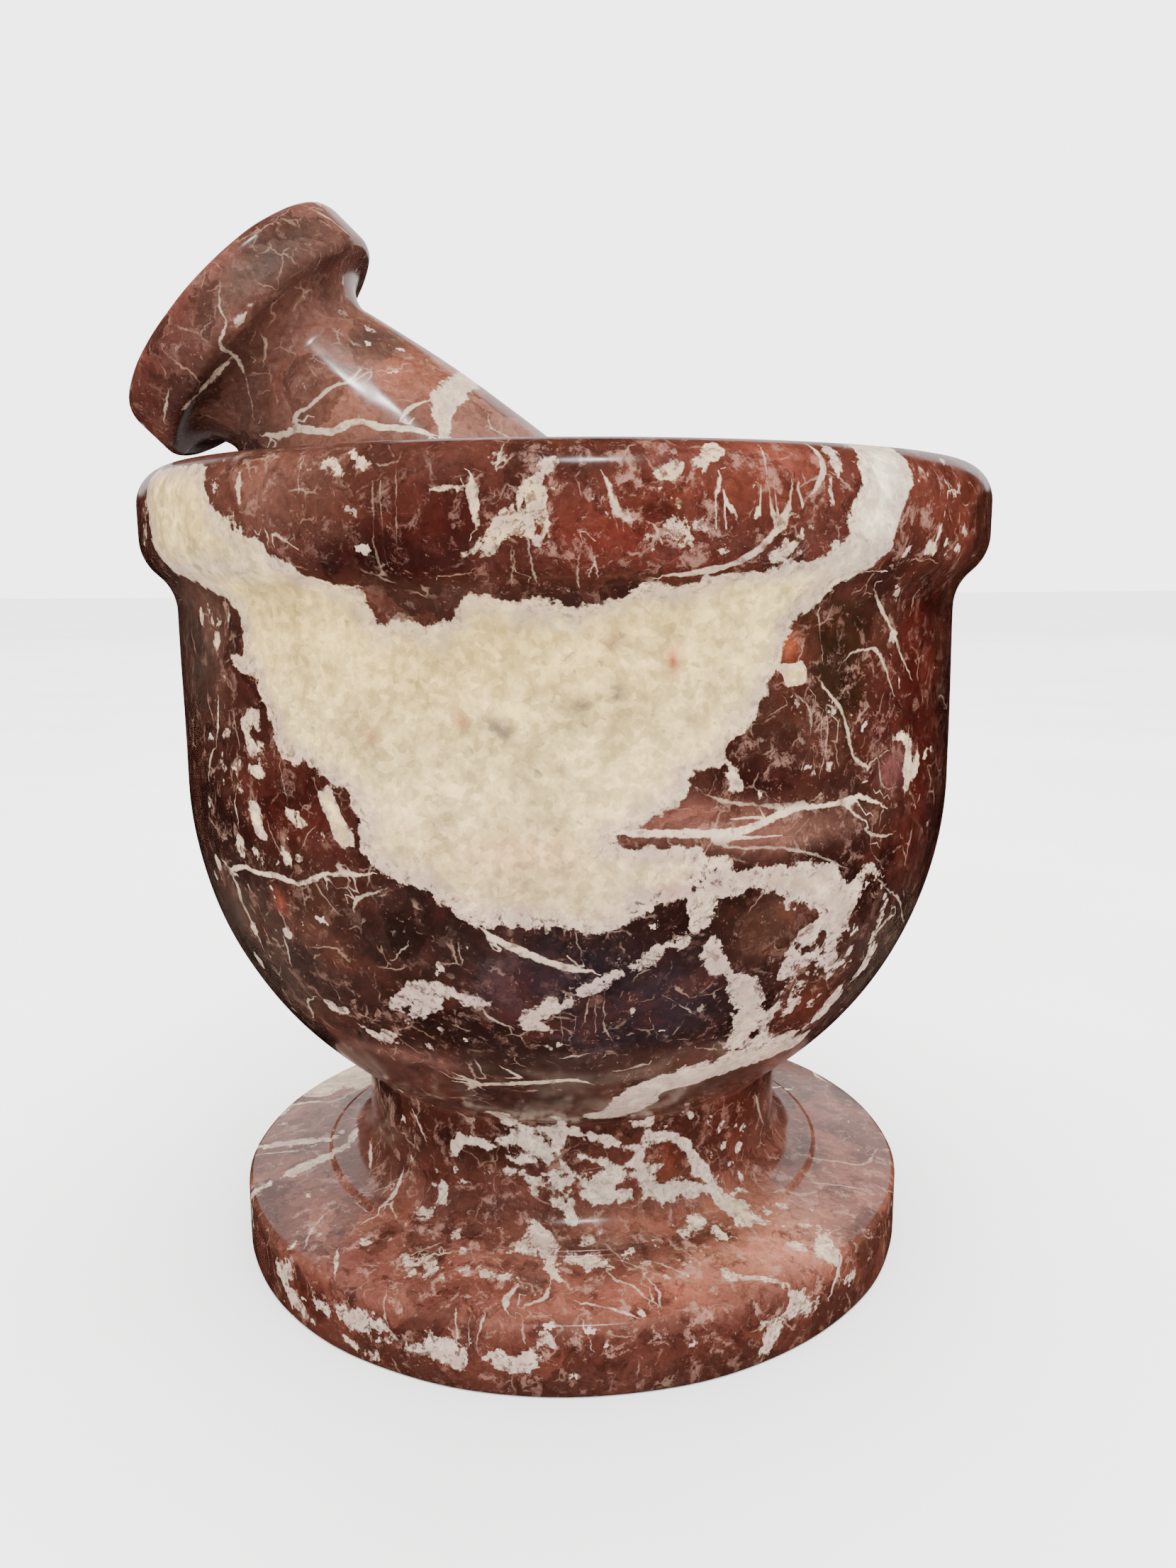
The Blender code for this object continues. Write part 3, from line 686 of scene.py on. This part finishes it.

# The same for the pale stone, some of them painted shade
PALE_TONES_AND_PAINTED_SHADE = [
    (-15, 20, 60, 28, CREAM, 1), (37, 14, 8, 8, (218, 206, 178), 1),
    # Painted shade under the rim's lip: the two patches on the next line and the first patch of the line
    # after.
    (-45, 20.5, 16, 2.2, (160, 142, 124), 0.8), (18, 20.3, 16, 2, (160, 142, 124), 0.8),
    (36, 18.6, 5, 1.6, (150, 132, 116), 0.9), (30, 64, 18, 12, (160, 140, 120), 1),
    # Greyer pale stone low on the bowl, its own tone and partly painted shade: the last patch of the line
    # above, both patches of the next line and the first patch of the line after.
    (6, 63, 14, 4.5, (152, 122, 120), 1), (-20, 68, 14, 7, (160, 134, 124), 1),
    (22, 84, 26, 8, (166, 146, 134), 1), (0, 100, 60, 8, (198, 184, 160), 1),
    (0, 124, 70, 4, (180, 160, 142), 0.8), (-5, 50, 18, 5, (184, 148, 98), 0.5),
    (-6, 48.4, 5, 1.6, (196, 146, 106), 0.6), (-8.2, 36, 1.5, 0.8, SLATE, 0.8),
    (-7.2, 36.8, 1, 0.8, SLATE, 0.8), (5.5, 33.2, 0.9, 0.8, SLATE, 0.9),
    (1.3, 34.2, 0.9, 0.7, SLATE, 0.8), (-24.5, 25.9, 0.9, 0.7, SLATE, 0.8),
    (-0.8, 40.2, 0.7, 0.7, (84, 60, 50), 0.8), (11.7, 30, 0.7, 1.3, (150, 70, 50), 0.95),
    (-12.2, 35.7, 0.6, 0.8, (150, 70, 50), 0.8), (-23.2, 37.5, 0.7, 0.7, (150, 70, 50), 0.8),
    (5, 28.3, 1.2, 0.7, (160, 120, 90), 0.8), (12.6, 52.7, 2, 1, (150, 84, 66), 0.8),
    (10.7, 54, 0.8, 0.8, (140, 70, 54), 0.7), (17.3, 51.8, 0.8, 0.9, SLATE, 0.8),
    (25.7, 53.5, 0.8, 0.5, (120, 76, 60), 0.8), (9.5, 47.2, 4.5, 0.7, (170, 110, 90), 0.8),
]

# Where pale bodies are torn into many islands: degrees, millimetres down, two sizes
PATCHY_PLACES = [
    (34, 62, 18, 14), (-22, 69, 14, 7), (0, 124, 70, 6), (5, 114, 40, 8), (6, 15, 14, 7),
    (-47, 47, 14, 12), (0, 55, 24, 4),
]

# Where the dark stone is crowded with pink and sooty mottles, in the same way
BUSY_PLACES = [
    (16, 45.5, 10, 2.5), (15, 15, 26, 8), (45, 14, 12, 7), (-32, 12, 10, 6), (30, 50, 12, 4),
    (40, 34, 14, 8), (-47, 44, 14, 14), (-26, 69, 14, 5), (38, 72, 14, 10), (0, 98, 60, 9),
    (0, 113, 90, 10), (0, 124, 90, 5), (28, 38, 10, 8), (0, 115, 120, 9), (6, 15, 16, 7),
]

# Where many small pale pieces lie in the dark stone, with how strongly they come through
SCATTERED_PLACES = [
    (17, 45, 9, 1.8, 1.8), (33, 64, 13, 12, 2.6), (-22, 68, 14, 5, 1.9), (2, 100, 26, 5, 2.8),
    (-26, 125, 26, 4.5, 2.5), (30, 124, 20, 4, 1.9), (6, 15, 12, 5.5, 2.5), (22, 15, 8, 5, 2.2),
    (30, 50, 10, 2, 1.9), (-46, 45, 9, 12, 1.5), (4, 112, 26, 6, 2.2), (44, 12, 10, 5, 2),
    (28, 110, 26, 5, 2.3), (-22, 114, 24, 5, 2.1), (42, 38, 8, 8, 1.7),
]

# Blocks of stone with crisp edges: their colour and strength, then their corners
BLOCKS = [
    (MAROON, 0.85, (-20.4, 14.6), (-8.6, 12.2), (-7.6, 15.2), (-9.6, 19), (-9.4, 22.2), (-20.2, 22)),
    (BROWN, 0.6, (-31.5, 12.5), (-20.6, 10.8), (-20.6, 14.4), (-23, 17.6), (-30, 17.4)),
    (OLIVE, 0.7, (30.5, 25), (37.5, 24.2), (38.8, 33), (35.5, 38.4), (29.7, 31)),
    (DEEP_RED, 0.8, (46.5, 24), (57, 24), (59, 40), (53, 52), (47.6, 40)),
    (PURPLE, 0.8, (-11, 60), (-2, 58.4), (5.4, 59.4), (2, 62.6), (-7.6, 66.4), (-13, 64)),
    (PURPLE, 0.85, (-3, 70), (6, 64.6), (13.6, 61.4), (16.5, 66), (14, 71.6), (3, 73)),
    (BROWN, 0.8, (20.5, 55.6), (27, 55), (30, 57.4), (27, 61.6), (21.6, 61)),
    (SLATE, 0.55, (-8, 76), (6, 77), (16, 75), (14, 78.6), (-2, 80)),
]


def mortar_pattern(piece, chart):
    """The stone's features that are drawn on the outside, and painted light and shade on it."""
    thinning = 0.15
    clast_crispness = 5.0
    island_crispness = 2.0
    scattered_depth = 2.5
    block_fade = 0.5
    pale = chart.outline(CREAM_BODY)
    for stroke in PALE_STROKES:
        pale = np.maximum(pale, chart.path(stroke)[1] - thinning)
    for around, along, radius in PALE_SPOTS:
        pale = np.maximum(pale, chart.spot(around, along, radius, radius))
    for corners in CLASTS:
        pale = np.maximum(pale, clast_crispness * chart.outline(corners))
    for island in ISLANDS:
        pale = np.minimum(pale, -island_crispness * chart.spot(*island))
    for around, along, across_size, along_size, height in SCATTERED_PLACES:
        hill = chart.nearness(around, along, across_size, along_size)
        pale = np.maximum(pale, height * hill - scattered_depth)
    ground = tinted(chart, BROWN_RED, GROUND_TONES_AND_PAINTED_LIGHT, deep)
    for shade, strength, *corners in BLOCKS:
        share = strength * np.clip(block_fade + chart.outline(corners), 0.0, 1.0)[:, None]
        ground = ground * (1.0 - share) + deep(*shade) * share
    light = tinted(chart, WHITE, PALE_TONES_AND_PAINTED_SHADE, colour)
    busy = 0.2 + sum(chart.nearness(*place) for place in BUSY_PLACES)
    store(piece, "busy", np.clip(busy, 0.0, 2.2))
    lay_pattern(piece, chart, pale, VEINS, ground, light)


# ---------------------------------------------------------------- the pestle's stone

# The pestle is drawn as degrees from its front and millimetres from the middle of the cap's top.

PESTLE_VEINS = [
    (0.4, 0.95, (-33.8, 36.5), (-25, 38.3), (-16.3, 39.3), (-10, 41), (-4.4, 42.8), (2.5, 43.4),
     (8.8, 44.5), (13.8, 46.8), (18.8, 48.3), (23.8, 50), (26.5, 51.5)),
    (0.3, 0.9, (25.5, 52.5), (35, 55.5), (41, 57.8)), (0.22, 0.8, (-41, 38.5), (-33, 38.4), (-26, 38.2)),
    (0.2, 0.7, (-18, 39), (-11.3, 38.2), (-2.5, 38.8), (10, 39), (20, 40), (31, 39.8)),
    (0.24, 0.85, (18.8, 48), (25, 47.5), (30, 47.3), (41, 48.1)),
    (0.14, 0.6, (54, 54.4), (50, 55.6), (52, 57.6)),
    (0.24, 0.8, (-17, 30.4), (-11, 28.5), (-10, 26), (-8, 24.2), (-1, 23.4)),
    (0.14, 0.6, (-31, 33.6), (-24, 32), (-16.3, 30.5)), (0.12, 0.6, (-1, 23.4), (2, 21.5), (9, 19.6)),
    (0.14, 0.6, (-52, 23.4), (-45, 23), (-38, 22.6)), (0.12, 0.5, (24, 41.4), (29, 41.3), (34, 40.6)),
    (0.1, 0.5, (-3, 31), (4, 30), (6, 28)), (0.14, 0.6, (60, 18.5), (66, 21), (70, 24)),
    (0.12, 0.5, (-24, 56), (-20, 54), (-8, 52)),
    (0.2, 0.7, (-38, 50), (-24, 51.5), (-10, 53.2), (4, 55.5), (16, 58)),
]

PESTLE_STROKES = [
    [(26.5, 53.5, 0.6), (33, 51.8, 0.9), (41, 50, 1.4), (50, 49.3, 1.9), (61, 48.9, 1.7), (82, 48.6, 1.5),
     (104, 48, 1.4), (124, 47.2, 0.9), (140, 45, 0.4)],
    [(-41, 25, 0.3), (-31, 26.4, 0.6), (-21, 27.2, 0.6), (-12.5, 27.8, 0.3)],
    [(8.5, 23.8, 0.35), (12, 24, 0.3)], [(1.5, 24, 0.3), (4, 24.2, 0.25)],
    [(-21, 45.6, 0.4), (-16, 46.5, 0.5)], [(-8, 46.3, 0.3), (-2, 47.6, 0.5)],
]

PESTLE_TONES_AND_PAINTED_SHADE = [
    (-60, 20, 46, 8, (92, 54, 45), 0.7), (-20, 20, 40, 5, RED, 0.5), (25, 21.5, 14, 3, SLATE, 0.8),
    # The first two patches on the next line, dark round the cap's underside and the top of the shaft, are
    # painted shade.
    (0, 28, 70, 3.5, MAROON, 0.5), (-15, 34, 22, 4, BROWN, 0.6), (60, 44, 22, 8, (148, 98, 78), 0.6),
    (47, 37, 4, 1.2, SLATE, 0.8), (66, 38.5, 6, 1.2, SLATE, 0.9), (52, 40.2, 4, 1, SLATE, 0.8),
    (-30, 52, 20, 6, BROWN, 0.6),
]


def pestle_pattern(piece, chart):
    """A browner stone than the mortar's, with one branching white vein round the shaft and painted shade
    under the cap.
    """
    pale = np.full(len(chart.along), -FAR)
    for stroke in PESTLE_STROKES:
        pale = np.maximum(pale, chart.path(stroke)[1])
    ground = tinted(chart, PESTLE_BROWN, PESTLE_TONES_AND_PAINTED_SHADE, deep)
    light = tinted(chart, WHITE, [], colour)
    lay_pattern(piece, chart, pale, PESTLE_VEINS, ground, light)


# ---------------------------------------------------------------- the marble material

class Shading:
    """Builds one material's nodes; any value given may be a number, a tuple or a socket."""

    def __init__(self, name):
        self.material = bpy.data.materials.new(name)
        self.material.use_nodes = True
        self.tree = self.material.node_tree
        self.surface = self.tree.nodes["Principled BSDF"]
        self.place = self.scaled(self.node("TexCoord", {}).outputs["Object"], 1.0 / MM)

    def node(self, kind, inputs, **settings):
        made = self.tree.nodes.new("ShaderNode" + kind)
        for setting, value in settings.items():
            setattr(made, setting, value)
        for place, value in inputs.items():
            if isinstance(value, bpy.types.NodeSocket):
                self.tree.links.new(value, made.inputs[place])
            else:
                made.inputs[place].default_value = value
        return made

    def surface_takes(self, place, value):
        """Links a socket to one of the finished surface's own."""
        self.tree.links.new(value, self.surface.inputs[place])

    def math(self, operation, first, second=0.0, third=0.0):
        return self.node("Math", {0: first, 1: second, 2: third}, operation=operation).outputs[0]

    def product(self, value, *factors):
        for factor in factors:
            value = self.math("MULTIPLY", value, factor)
        return value

    def minus(self, first, second):
        return self.math("SUBTRACT", first, second)

    def moved(self, where, step):
        return self.node("VectorMath", {0: where, 1: step}, operation="ADD").outputs[0]

    def scaled(self, base, factor):
        """A colour or a place, multiplied by a number."""
        return self.node("VectorMath", {0: base, 3: factor}, operation="SCALE").outputs[0]

    def noise(self, where, size, detail=3.0, roughness=0.55, output=0):
        inputs = {"Vector": where, "Scale": 1.0 / size, "Detail": detail, "Roughness": roughness}
        return self.node("TexNoise", inputs).outputs[output]

    def shift(self, size, detail):
        """A random step aside, about half a unit each way at most."""
        drift = self.noise(self.place, size, detail, 0.6, output=1)
        return self.node("VectorMath", {0: drift, 1: (0.5, 0.5, 0.5)}, operation="SUBTRACT").outputs[0]

    def cells(self, where, size, feature="F1"):
        inputs = {"Vector": where, "Scale": 1.0 / size}
        return self.node("TexVoronoi", inputs, feature=feature).outputs

    def parts(self, shade):
        """The red, green and blue of a colour; those of a cell's colour are random numbers."""
        return self.node("SeparateColor", {0: shade}).outputs

    def step(self, value, low, high, start=0.0, end=1.0):
        """Rises smoothly from start to end as the value goes from low to high."""
        inputs = {"Value": value, "From Min": low, "From Max": high, "To Min": start, "To Max": end}
        return self.node("MapRange", inputs, interpolation_type="SMOOTHSTEP").outputs[0]

    def mix(self, share, first, second):
        return self.node("Mix", {0: share, 6: first, 7: second}, data_type="RGBA").outputs[2]

    def stored(self, name, output="Fac"):
        return self.node("Attribute", {}, attribute_name=name).outputs[output]


class Marble(Shading):
    """The nodes of a marble, with the values that its layers share."""

    def __init__(self, name):
        super().__init__(name)
        self.torn = self.moved(self.place, self.scaled(self.shift(5.0, 4.0), 4.0))
        self.fine_shift = self.shift(0.9, 3.0)
        self.ragged = self.moved(self.torn, self.scaled(self.fine_shift, 0.8))
        self.grit = self.noise(self.ragged, 0.8, 6.0, 0.75)
        self.busy = self.stored("busy")
        self.patchy = self.stored("patchy")
        self.wild = self.stored("wild")


def rgba(*shade):
    return (*colour(*shade), 1.0)


def dark(*shade):
    return (*deep(*shade), 1.0)


def dark_stone(m):
    """The dark ground: clouds, broken clasts of slightly different stone, rust, grit and silt."""
    ground = m.stored("ground", "Color")
    clouds = m.noise(m.torn, 11.0, 5.0, 0.6)
    ground = m.scaled(ground, m.step(clouds, 0.3, 0.7, 0.72, 1.3))
    clast = m.parts(m.cells(m.ragged, 6.0)["Color"])[0]
    ground = m.scaled(ground, m.step(clast, 0.0, 1.0, 0.7, 1.28))
    rusty = m.step(m.noise(m.ragged, 7.0, 4.0), 0.5, 0.66)
    ground = m.mix(m.product(rusty, 0.12), ground, dark(*BRICK))
    ground = m.scaled(ground, m.step(m.grit, 0.25, 0.75, 0.68, 1.36))
    silt = m.step(m.noise(m.torn, 2.6, 6.0, 0.72), 0.56, 0.7)
    return m.mix(m.product(silt, 0.16), ground, dark(*TAN))


def mottled(m, ground):
    """Sooty and pink mottles where the stone is busy, and clusters of pink grains."""
    sooty = m.step(m.noise(m.ragged, 3.4, 6.0, 0.7), 0.5, 0.62)
    ground = m.mix(m.product(sooty, 0.3, m.busy), ground, dark(*MAROON))
    mottle = m.step(m.noise(m.moved(m.ragged, (9.0, 40.0, 3.0)), 2.6, 7.0, 0.74), 0.53, 0.64)
    ground = m.mix(m.product(mottle, m.busy, 0.3), ground, rgba(*PINK))
    grains = m.step(m.noise(m.ragged, 0.7, 4.0, 0.75), 0.6, 0.68)
    sown = m.step(m.noise(m.torn, 5.0, 4.0, 0.7), 0.4, 0.6, 0.03, 0.38)
    return m.mix(m.product(grains, sown), ground, rgba(*PINK))


def cracked(m, ground):
    """Hairline cracks healed with pale calcite, in some places only."""
    cracks = m.cells(m.torn, 8.0, "DISTANCE_TO_EDGE")["Distance"]
    fresh = m.step(m.noise(m.place, 4.5, 2.0), 0.52, 0.64)
    line = m.product(m.step(cracks, 0.018, 0.005), fresh)
    fine_cracks = m.cells(m.torn, 3.7, "DISTANCE_TO_EDGE")["Distance"]
    fine_fresh = m.step(m.noise(m.moved(m.place, (31.0, 17.0, 5.0)), 3.0, 3.0), 0.54, 0.66)
    fine_line = m.product(m.step(fine_cracks, 0.035, 0.01), fine_fresh)
    lines = m.math("MAXIMUM", line, m.product(fine_line, 0.7))
    return m.mix(m.product(lines, 0.38), ground, rgba(*GREYED))


def speckled(m, ground):
    """Scattered small clasts of pale stone."""
    specks = m.cells(m.moved(m.ragged, m.scaled(m.fine_shift, 1.6)), 2.2)
    chosen = m.parts(specks["Color"])
    few = m.step(m.math("MULTIPLY_ADD", m.busy, 0.09, chosen[1]), 0.88, 0.9)
    size = m.step(chosen[2], 0.0, 1.0, 0.06, 0.3)
    speck = m.step(m.minus(size, specks["Distance"]), 0.0, 0.05)
    crowd = m.step(m.noise(m.place, 12.0, 2.0), 0.42, 0.58)
    return m.mix(m.product(speck, few, crowd, 0.65), ground, rgba(*VEIN))


def pale_stone(m):
    """The pale stone: sugary grain, clouds, and a few dark and rusty flecks."""
    light = m.stored("light", "Color")
    grain = m.parts(m.cells(m.place, 0.8)["Color"])[0]
    light = m.scaled(light, m.step(grain, 0.0, 1.0, 0.78, 1.12))
    light = m.scaled(light, m.step(m.noise(m.torn, 6.0, 5.0, 0.65), 0.36, 0.64, 0.78, 1.12))
    light = m.scaled(light, m.step(m.noise(m.place, 2.0, 6.0, 0.75), 0.36, 0.64, 0.74, 1.12))
    fleck = m.step(m.noise(m.ragged, 1.6, 3.0, 0.6), 0.65, 0.72)
    light = m.mix(m.product(fleck, 0.5), light, rgba(*SLATE))
    rust = m.step(m.noise(m.moved(m.ragged, (3.0, 7.0, 60.0)), 1.2, 2.0), 0.72, 0.76)
    return m.mix(m.product(rust, 0.6), light, rgba(*BRICK))


def pale_depth(m):
    """How deep inside a pale body each place lies: as drawn, or the stone's own where it is wild."""
    own = m.product(m.minus(m.noise(m.torn, 40.0, 3.0, 0.5), 0.585), 60.0)
    own = m.minus(own, m.product(m.minus(1.0, m.wild), 20.0))
    pale = m.math("MAXIMUM", m.stored("pale"), own)
    tatter = m.minus(m.noise(m.place, 1.4, 6.0, 0.68), 0.5)
    pale = m.math("MULTIPLY_ADD", tatter, 2.3, pale)
    gnawed = m.minus(m.noise(m.place, 3.6, 5.0, 0.62), 0.5)
    return m.math("MULTIPLY_ADD", m.product(gnawed, m.patchy), 6.0, pale)


def soiled(m, light, pale):
    """The pale stone with tan stone worked into the edges of its patchy bodies."""
    soil = m.step(m.noise(m.ragged, 2.2, 6.0, 0.72), 0.42, 0.58)
    soil = m.product(soil, m.patchy, m.step(pale, 3.0, 1.2, 0.0, 0.75))
    return m.mix(soil, light, rgba(*TAN))


def pale_cover(m, pale):
    """Where the pale stone hides the dark one: all of a pale body but the holes near its edges."""
    holes = m.step(m.noise(m.ragged, 0.9, 5.0, 0.7), 0.5, 0.62)
    shallow = m.step(pale, 2.2, 0.6)
    holes = m.product(holes, shallow, m.product(m.patchy, 0.85))
    return m.product(m.step(pale, -0.08, 0.2), m.minus(1.0, holes))


def drawn_veins(m):
    """The veins as drawn, with ragged sides and fainter places."""
    wobble = m.minus(m.noise(m.place, 1.1, 5.0, 0.65), 0.5)
    offset = m.math("MULTIPLY_ADD", wobble, 0.9, m.stored("vein_offset"))
    swell = m.minus(m.noise(m.place, 2.3, 3.0), 0.5)
    width = m.math("MULTIPLY_ADD", swell, 0.5, m.stored("vein_width"))
    depth = m.minus(width, m.math("ABSOLUTE", offset))
    broken = m.step(m.noise(m.place, 1.7, 5.0, 0.7), 0.34, 0.5, 0.25, 1.0)
    return m.product(m.step(depth, -0.07, 0.1), m.stored("vein_strength"), broken)


def own_veins(m):
    """The stone's own thin veins where it is wild: the middle levels of a broad noise."""
    ridge = m.math("ABSOLUTE", m.minus(m.noise(m.place, 30.0, 2.5, 0.45), 0.5))
    reach = m.step(m.noise(m.place, 3.0, 5.0, 0.65), 0.35, 0.7, 0.0, 0.011)
    vein = m.step(m.minus(reach, ridge), -0.002, 0.002)
    return m.product(vein, m.wild, m.step(m.noise(m.place, 17.0, 1.0), 0.45, 0.6))


def marble(name):
    """Polished breccia marble: dark stone, small clasts, pale bodies and veins, from below up."""
    m = Marble(name)
    ground = speckled(m, cracked(m, mottled(m, dark_stone(m))))
    pale = pale_depth(m)
    cover = pale_cover(m, pale)
    light = soiled(m, pale_stone(m), pale)
    rim = m.product(m.step(pale, 3.2, 0.1), 0.5)
    colours = m.mix(cover, ground, m.mix(rim, light, rgba(*LILAC)))
    veins = m.math("MAXIMUM", drawn_veins(m), own_veins(m))
    vein_stone = m.scaled(m.mix(0.6, light, rgba(*VEIN)), m.step(m.grit, 0.2, 0.8, 0.85, 1.08))
    m.surface_takes("Base Color", m.mix(veins, colours, vein_stone))
    polish = m.step(m.noise(m.place, 4.0, 4.0, 0.7), 0.3, 0.75, 0.13, 0.26)
    m.surface_takes("Roughness", m.math("MULTIPLY_ADD", cover, 0.08, polish))
    relief = {"Height": m.noise(m.place, 6.0, 3.0), "Strength": 0.25, "Distance": 0.00005}
    m.surface_takes("Normal", m.node("Bump", relief).outputs[0])
    m.surface.inputs["IOR"].default_value = 1.52
    return m.material


# ---------------------------------------------------------------- the two pieces

def finished(piece, node, material):
    """Gives a piece its material and lets it stand for its CAD node."""
    piece.data.materials.append(material)
    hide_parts(node)
    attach(piece, node)


def upright(radial, height, angle):
    """A place on the mortar, whose axis is the frame's own."""
    return np.column_stack((radial * np.cos(angle), radial * np.sin(angle), height)) * MM


def make_mortar():
    """The mortar, whose own pattern fades in where the photograph does not show the stone."""
    front = -90.0
    steps = 400
    drawn_from = 4.0
    foot_from = 90.0
    bowl_drawn = 68.0
    foot_drawn = 92.0
    fade = 12.0
    profile, mouth = mortar_profile()
    piece, chart = turned_mesh("mortar_stone", profile, mouth, front, steps, upright)
    mortar_pattern(piece, chart)
    patchy = 0.5 + sum(chart.nearness(*place) for place in PATCHY_PLACES)
    store(piece, "patchy", np.clip(patchy, 0.0, 1.0))
    drawn = np.where(chart.along > foot_from, foot_drawn, bowl_drawn)
    wild = np.clip((chart.from_front() - drawn) / fade, 0.0, 1.0)
    store(piece, "wild", np.where(chart.along < drawn_from, 1.0, wild))
    finished(piece, "mortar", marble("Red breccia marble"))


def pestle_axis():
    """The head's centre, the way to the cap and the two ways across, read from the CAD solid."""
    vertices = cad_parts["pestle"].data.vertices
    points = np.array([vertex.co for vertex in vertices])
    middle = points.mean(0)
    spread = np.linalg.eigh(np.cov((points - middle).T))[1]
    to_cap = spread[:, 2] * np.sign(spread[2, 2])
    tip = middle + to_cap * ((points - middle) @ to_cap).min()
    head_centre = tip + to_cap * PESTLE_HEAD * MM
    front = np.array((0.0, -1.0, 0.0))
    across = np.cross(to_cap, front)
    return head_centre, to_cap, front, across


def make_pestle():
    """The pestle, leaning on the rim. Its pattern too is the stone's own round its far side."""
    steps = 200
    drawn = 80.0
    fade = 20.0
    head_centre, to_cap, front, across = pestle_axis()

    def leaning(radial, height, angle):
        sideways = np.cos(angle)[:, None] * front + np.sin(angle)[:, None] * across
        return head_centre + (height[:, None] * to_cap + radial[:, None] * sideways) * MM

    piece, chart = turned_mesh("pestle_stone", pestle_profile(), 0, 0.0, steps, leaning)
    pestle_pattern(piece, chart)
    store(piece, "patchy", np.full(len(chart.along), 0.4))
    store(piece, "busy", np.full(len(chart.along), 0.5))
    store(piece, "wild", np.clip((chart.from_front() - drawn) / fade, 0.0, 1.0))
    finished(piece, "pestle", marble("Brown breccia marble"))


# ---------------------------------------------------------------- floor, light and camera

def make_floor():
    """A wide, plain, pale floor."""
    mesh = bpy.data.meshes.new("floor")
    half = 60.0 * RIM_RADIUS * MM
    mesh.from_pydata([(-half, -half, 0), (half, -half, 0), (half, half, 0), (-half, half, 0)],
                     [], [(0, 1, 2, 3)])
    floor = bpy.data.objects.new("floor", mesh)
    bpy.context.scene.collection.objects.link(floor)
    m = Shading("Pale floor")
    tone = m.step(m.noise(m.place, 90.0, 3.0), 0.3, 0.7)
    m.surface_takes("Base Color", m.mix(tone, rgba(240, 239, 237), rgba(246, 245, 244)))
    m.surface.inputs["Roughness"].default_value = 0.75
    mesh.materials.append(m.material)
    floor.visible_glossy = False


def make_world():
    """Even pale light, brighter behind the object, which the polished stone does not mirror."""
    world = bpy.data.worlds.new("pale_room")
    world.use_nodes = True
    tree = world.node_tree
    direction = tree.nodes.new("ShaderNodeTexCoord")
    height = tree.nodes.new("ShaderNodeVectorMath")
    height.operation = "DOT_PRODUCT"
    height.inputs[1].default_value = (0.0, 0.4, 0.92)
    tree.links.new(direction.outputs["Generated"], height.inputs[0])
    wall = tree.nodes.new("ShaderNodeMapRange")
    wall.interpolation_type = "SMOOTHSTEP"
    wall.inputs["From Min"].default_value = -0.5
    wall.inputs["From Max"].default_value = 0.3
    wall.inputs["To Min"].default_value = 0.9
    wall.inputs["To Max"].default_value = 4.2
    tree.links.new(height.outputs["Value"], wall.inputs["Value"])
    tree.links.new(wall.outputs[0], tree.nodes["Background"].inputs["Strength"])
    tree.nodes["Background"].inputs["Color"].default_value = (1.0, 1.0, 1.0, 1.0)
    bpy.context.scene.world = world
    world.cycles_visibility.glossy = False


def make_light(name, place, size, power, mirrored, aim=(0.0, 0.0, 0.06)):
    """A soft rectangular light, aimed at the object. The stone shows its shape when mirrored."""
    light = bpy.data.lights.new(name, "AREA")
    light.shape = "RECTANGLE"
    light.size, light.size_y = size
    light.energy = power
    lamp = bpy.data.objects.new(name, light)
    lamp.location = place
    lamp.visible_glossy = mirrored
    lamp.rotation_euler = (Vector(place) - Vector(aim)).to_track_quat("Z", "Y").to_euler()
    bpy.context.scene.collection.objects.link(lamp)


def make_camera():
    """Close in front of the mortar, a little above the rim, looking slightly down."""
    distance = 3.1284 * RIM_RADIUS * MM
    height = 1.694 * RIM_RADIUS * MM
    pitch = math.radians(10.2058)
    roll = math.radians(0.3603)
    yaw = math.radians(0.8679)
    level_right = Vector((math.cos(yaw), -math.sin(yaw), 0.0))
    level_ahead = Vector((math.sin(yaw), math.cos(yaw), 0.0))
    up = Vector((0.0, 0.0, 1.0))
    ahead = level_ahead * math.cos(pitch) - up * math.sin(pitch)
    above = level_ahead * math.sin(pitch) + up * math.cos(pitch)
    right = level_right * math.cos(roll) - above * math.sin(roll)
    above = level_right * math.sin(roll) + above * math.cos(roll)
    turn = Matrix((right, above, -ahead)).transposed().to_4x4()
    lens = bpy.data.cameras.new("camera")
    lens.sensor_fit = "VERTICAL"
    lens.sensor_height = 36.0
    lens.lens = 28.48
    lens.clip_start = 0.01
    camera = bpy.data.objects.new("camera", lens)
    camera.matrix_world = Matrix.Translation((0.0, -distance, height)) @ turn
    bpy.context.scene.collection.objects.link(camera)
    bpy.context.scene.camera = camera


make_mortar()
make_pestle()
make_floor()
make_world()
make_light("key", place=(0.1, -0.35, 0.85), size=(0.45, 0.45), power=6.0, mirrored=False)
make_light("overhead", place=(0.0, 0.1, 0.7), size=(0.3, 0.06), power=2.0, mirrored=False)
make_light("glint", place=(0.05, -0.42, 0.8), size=(0.11, 0.04), power=1.6, mirrored=True)
make_light("back_panel", place=(0.0, 1.1, 0.55), size=(1.8, 0.7), power=4.6, mirrored=True)
make_camera()
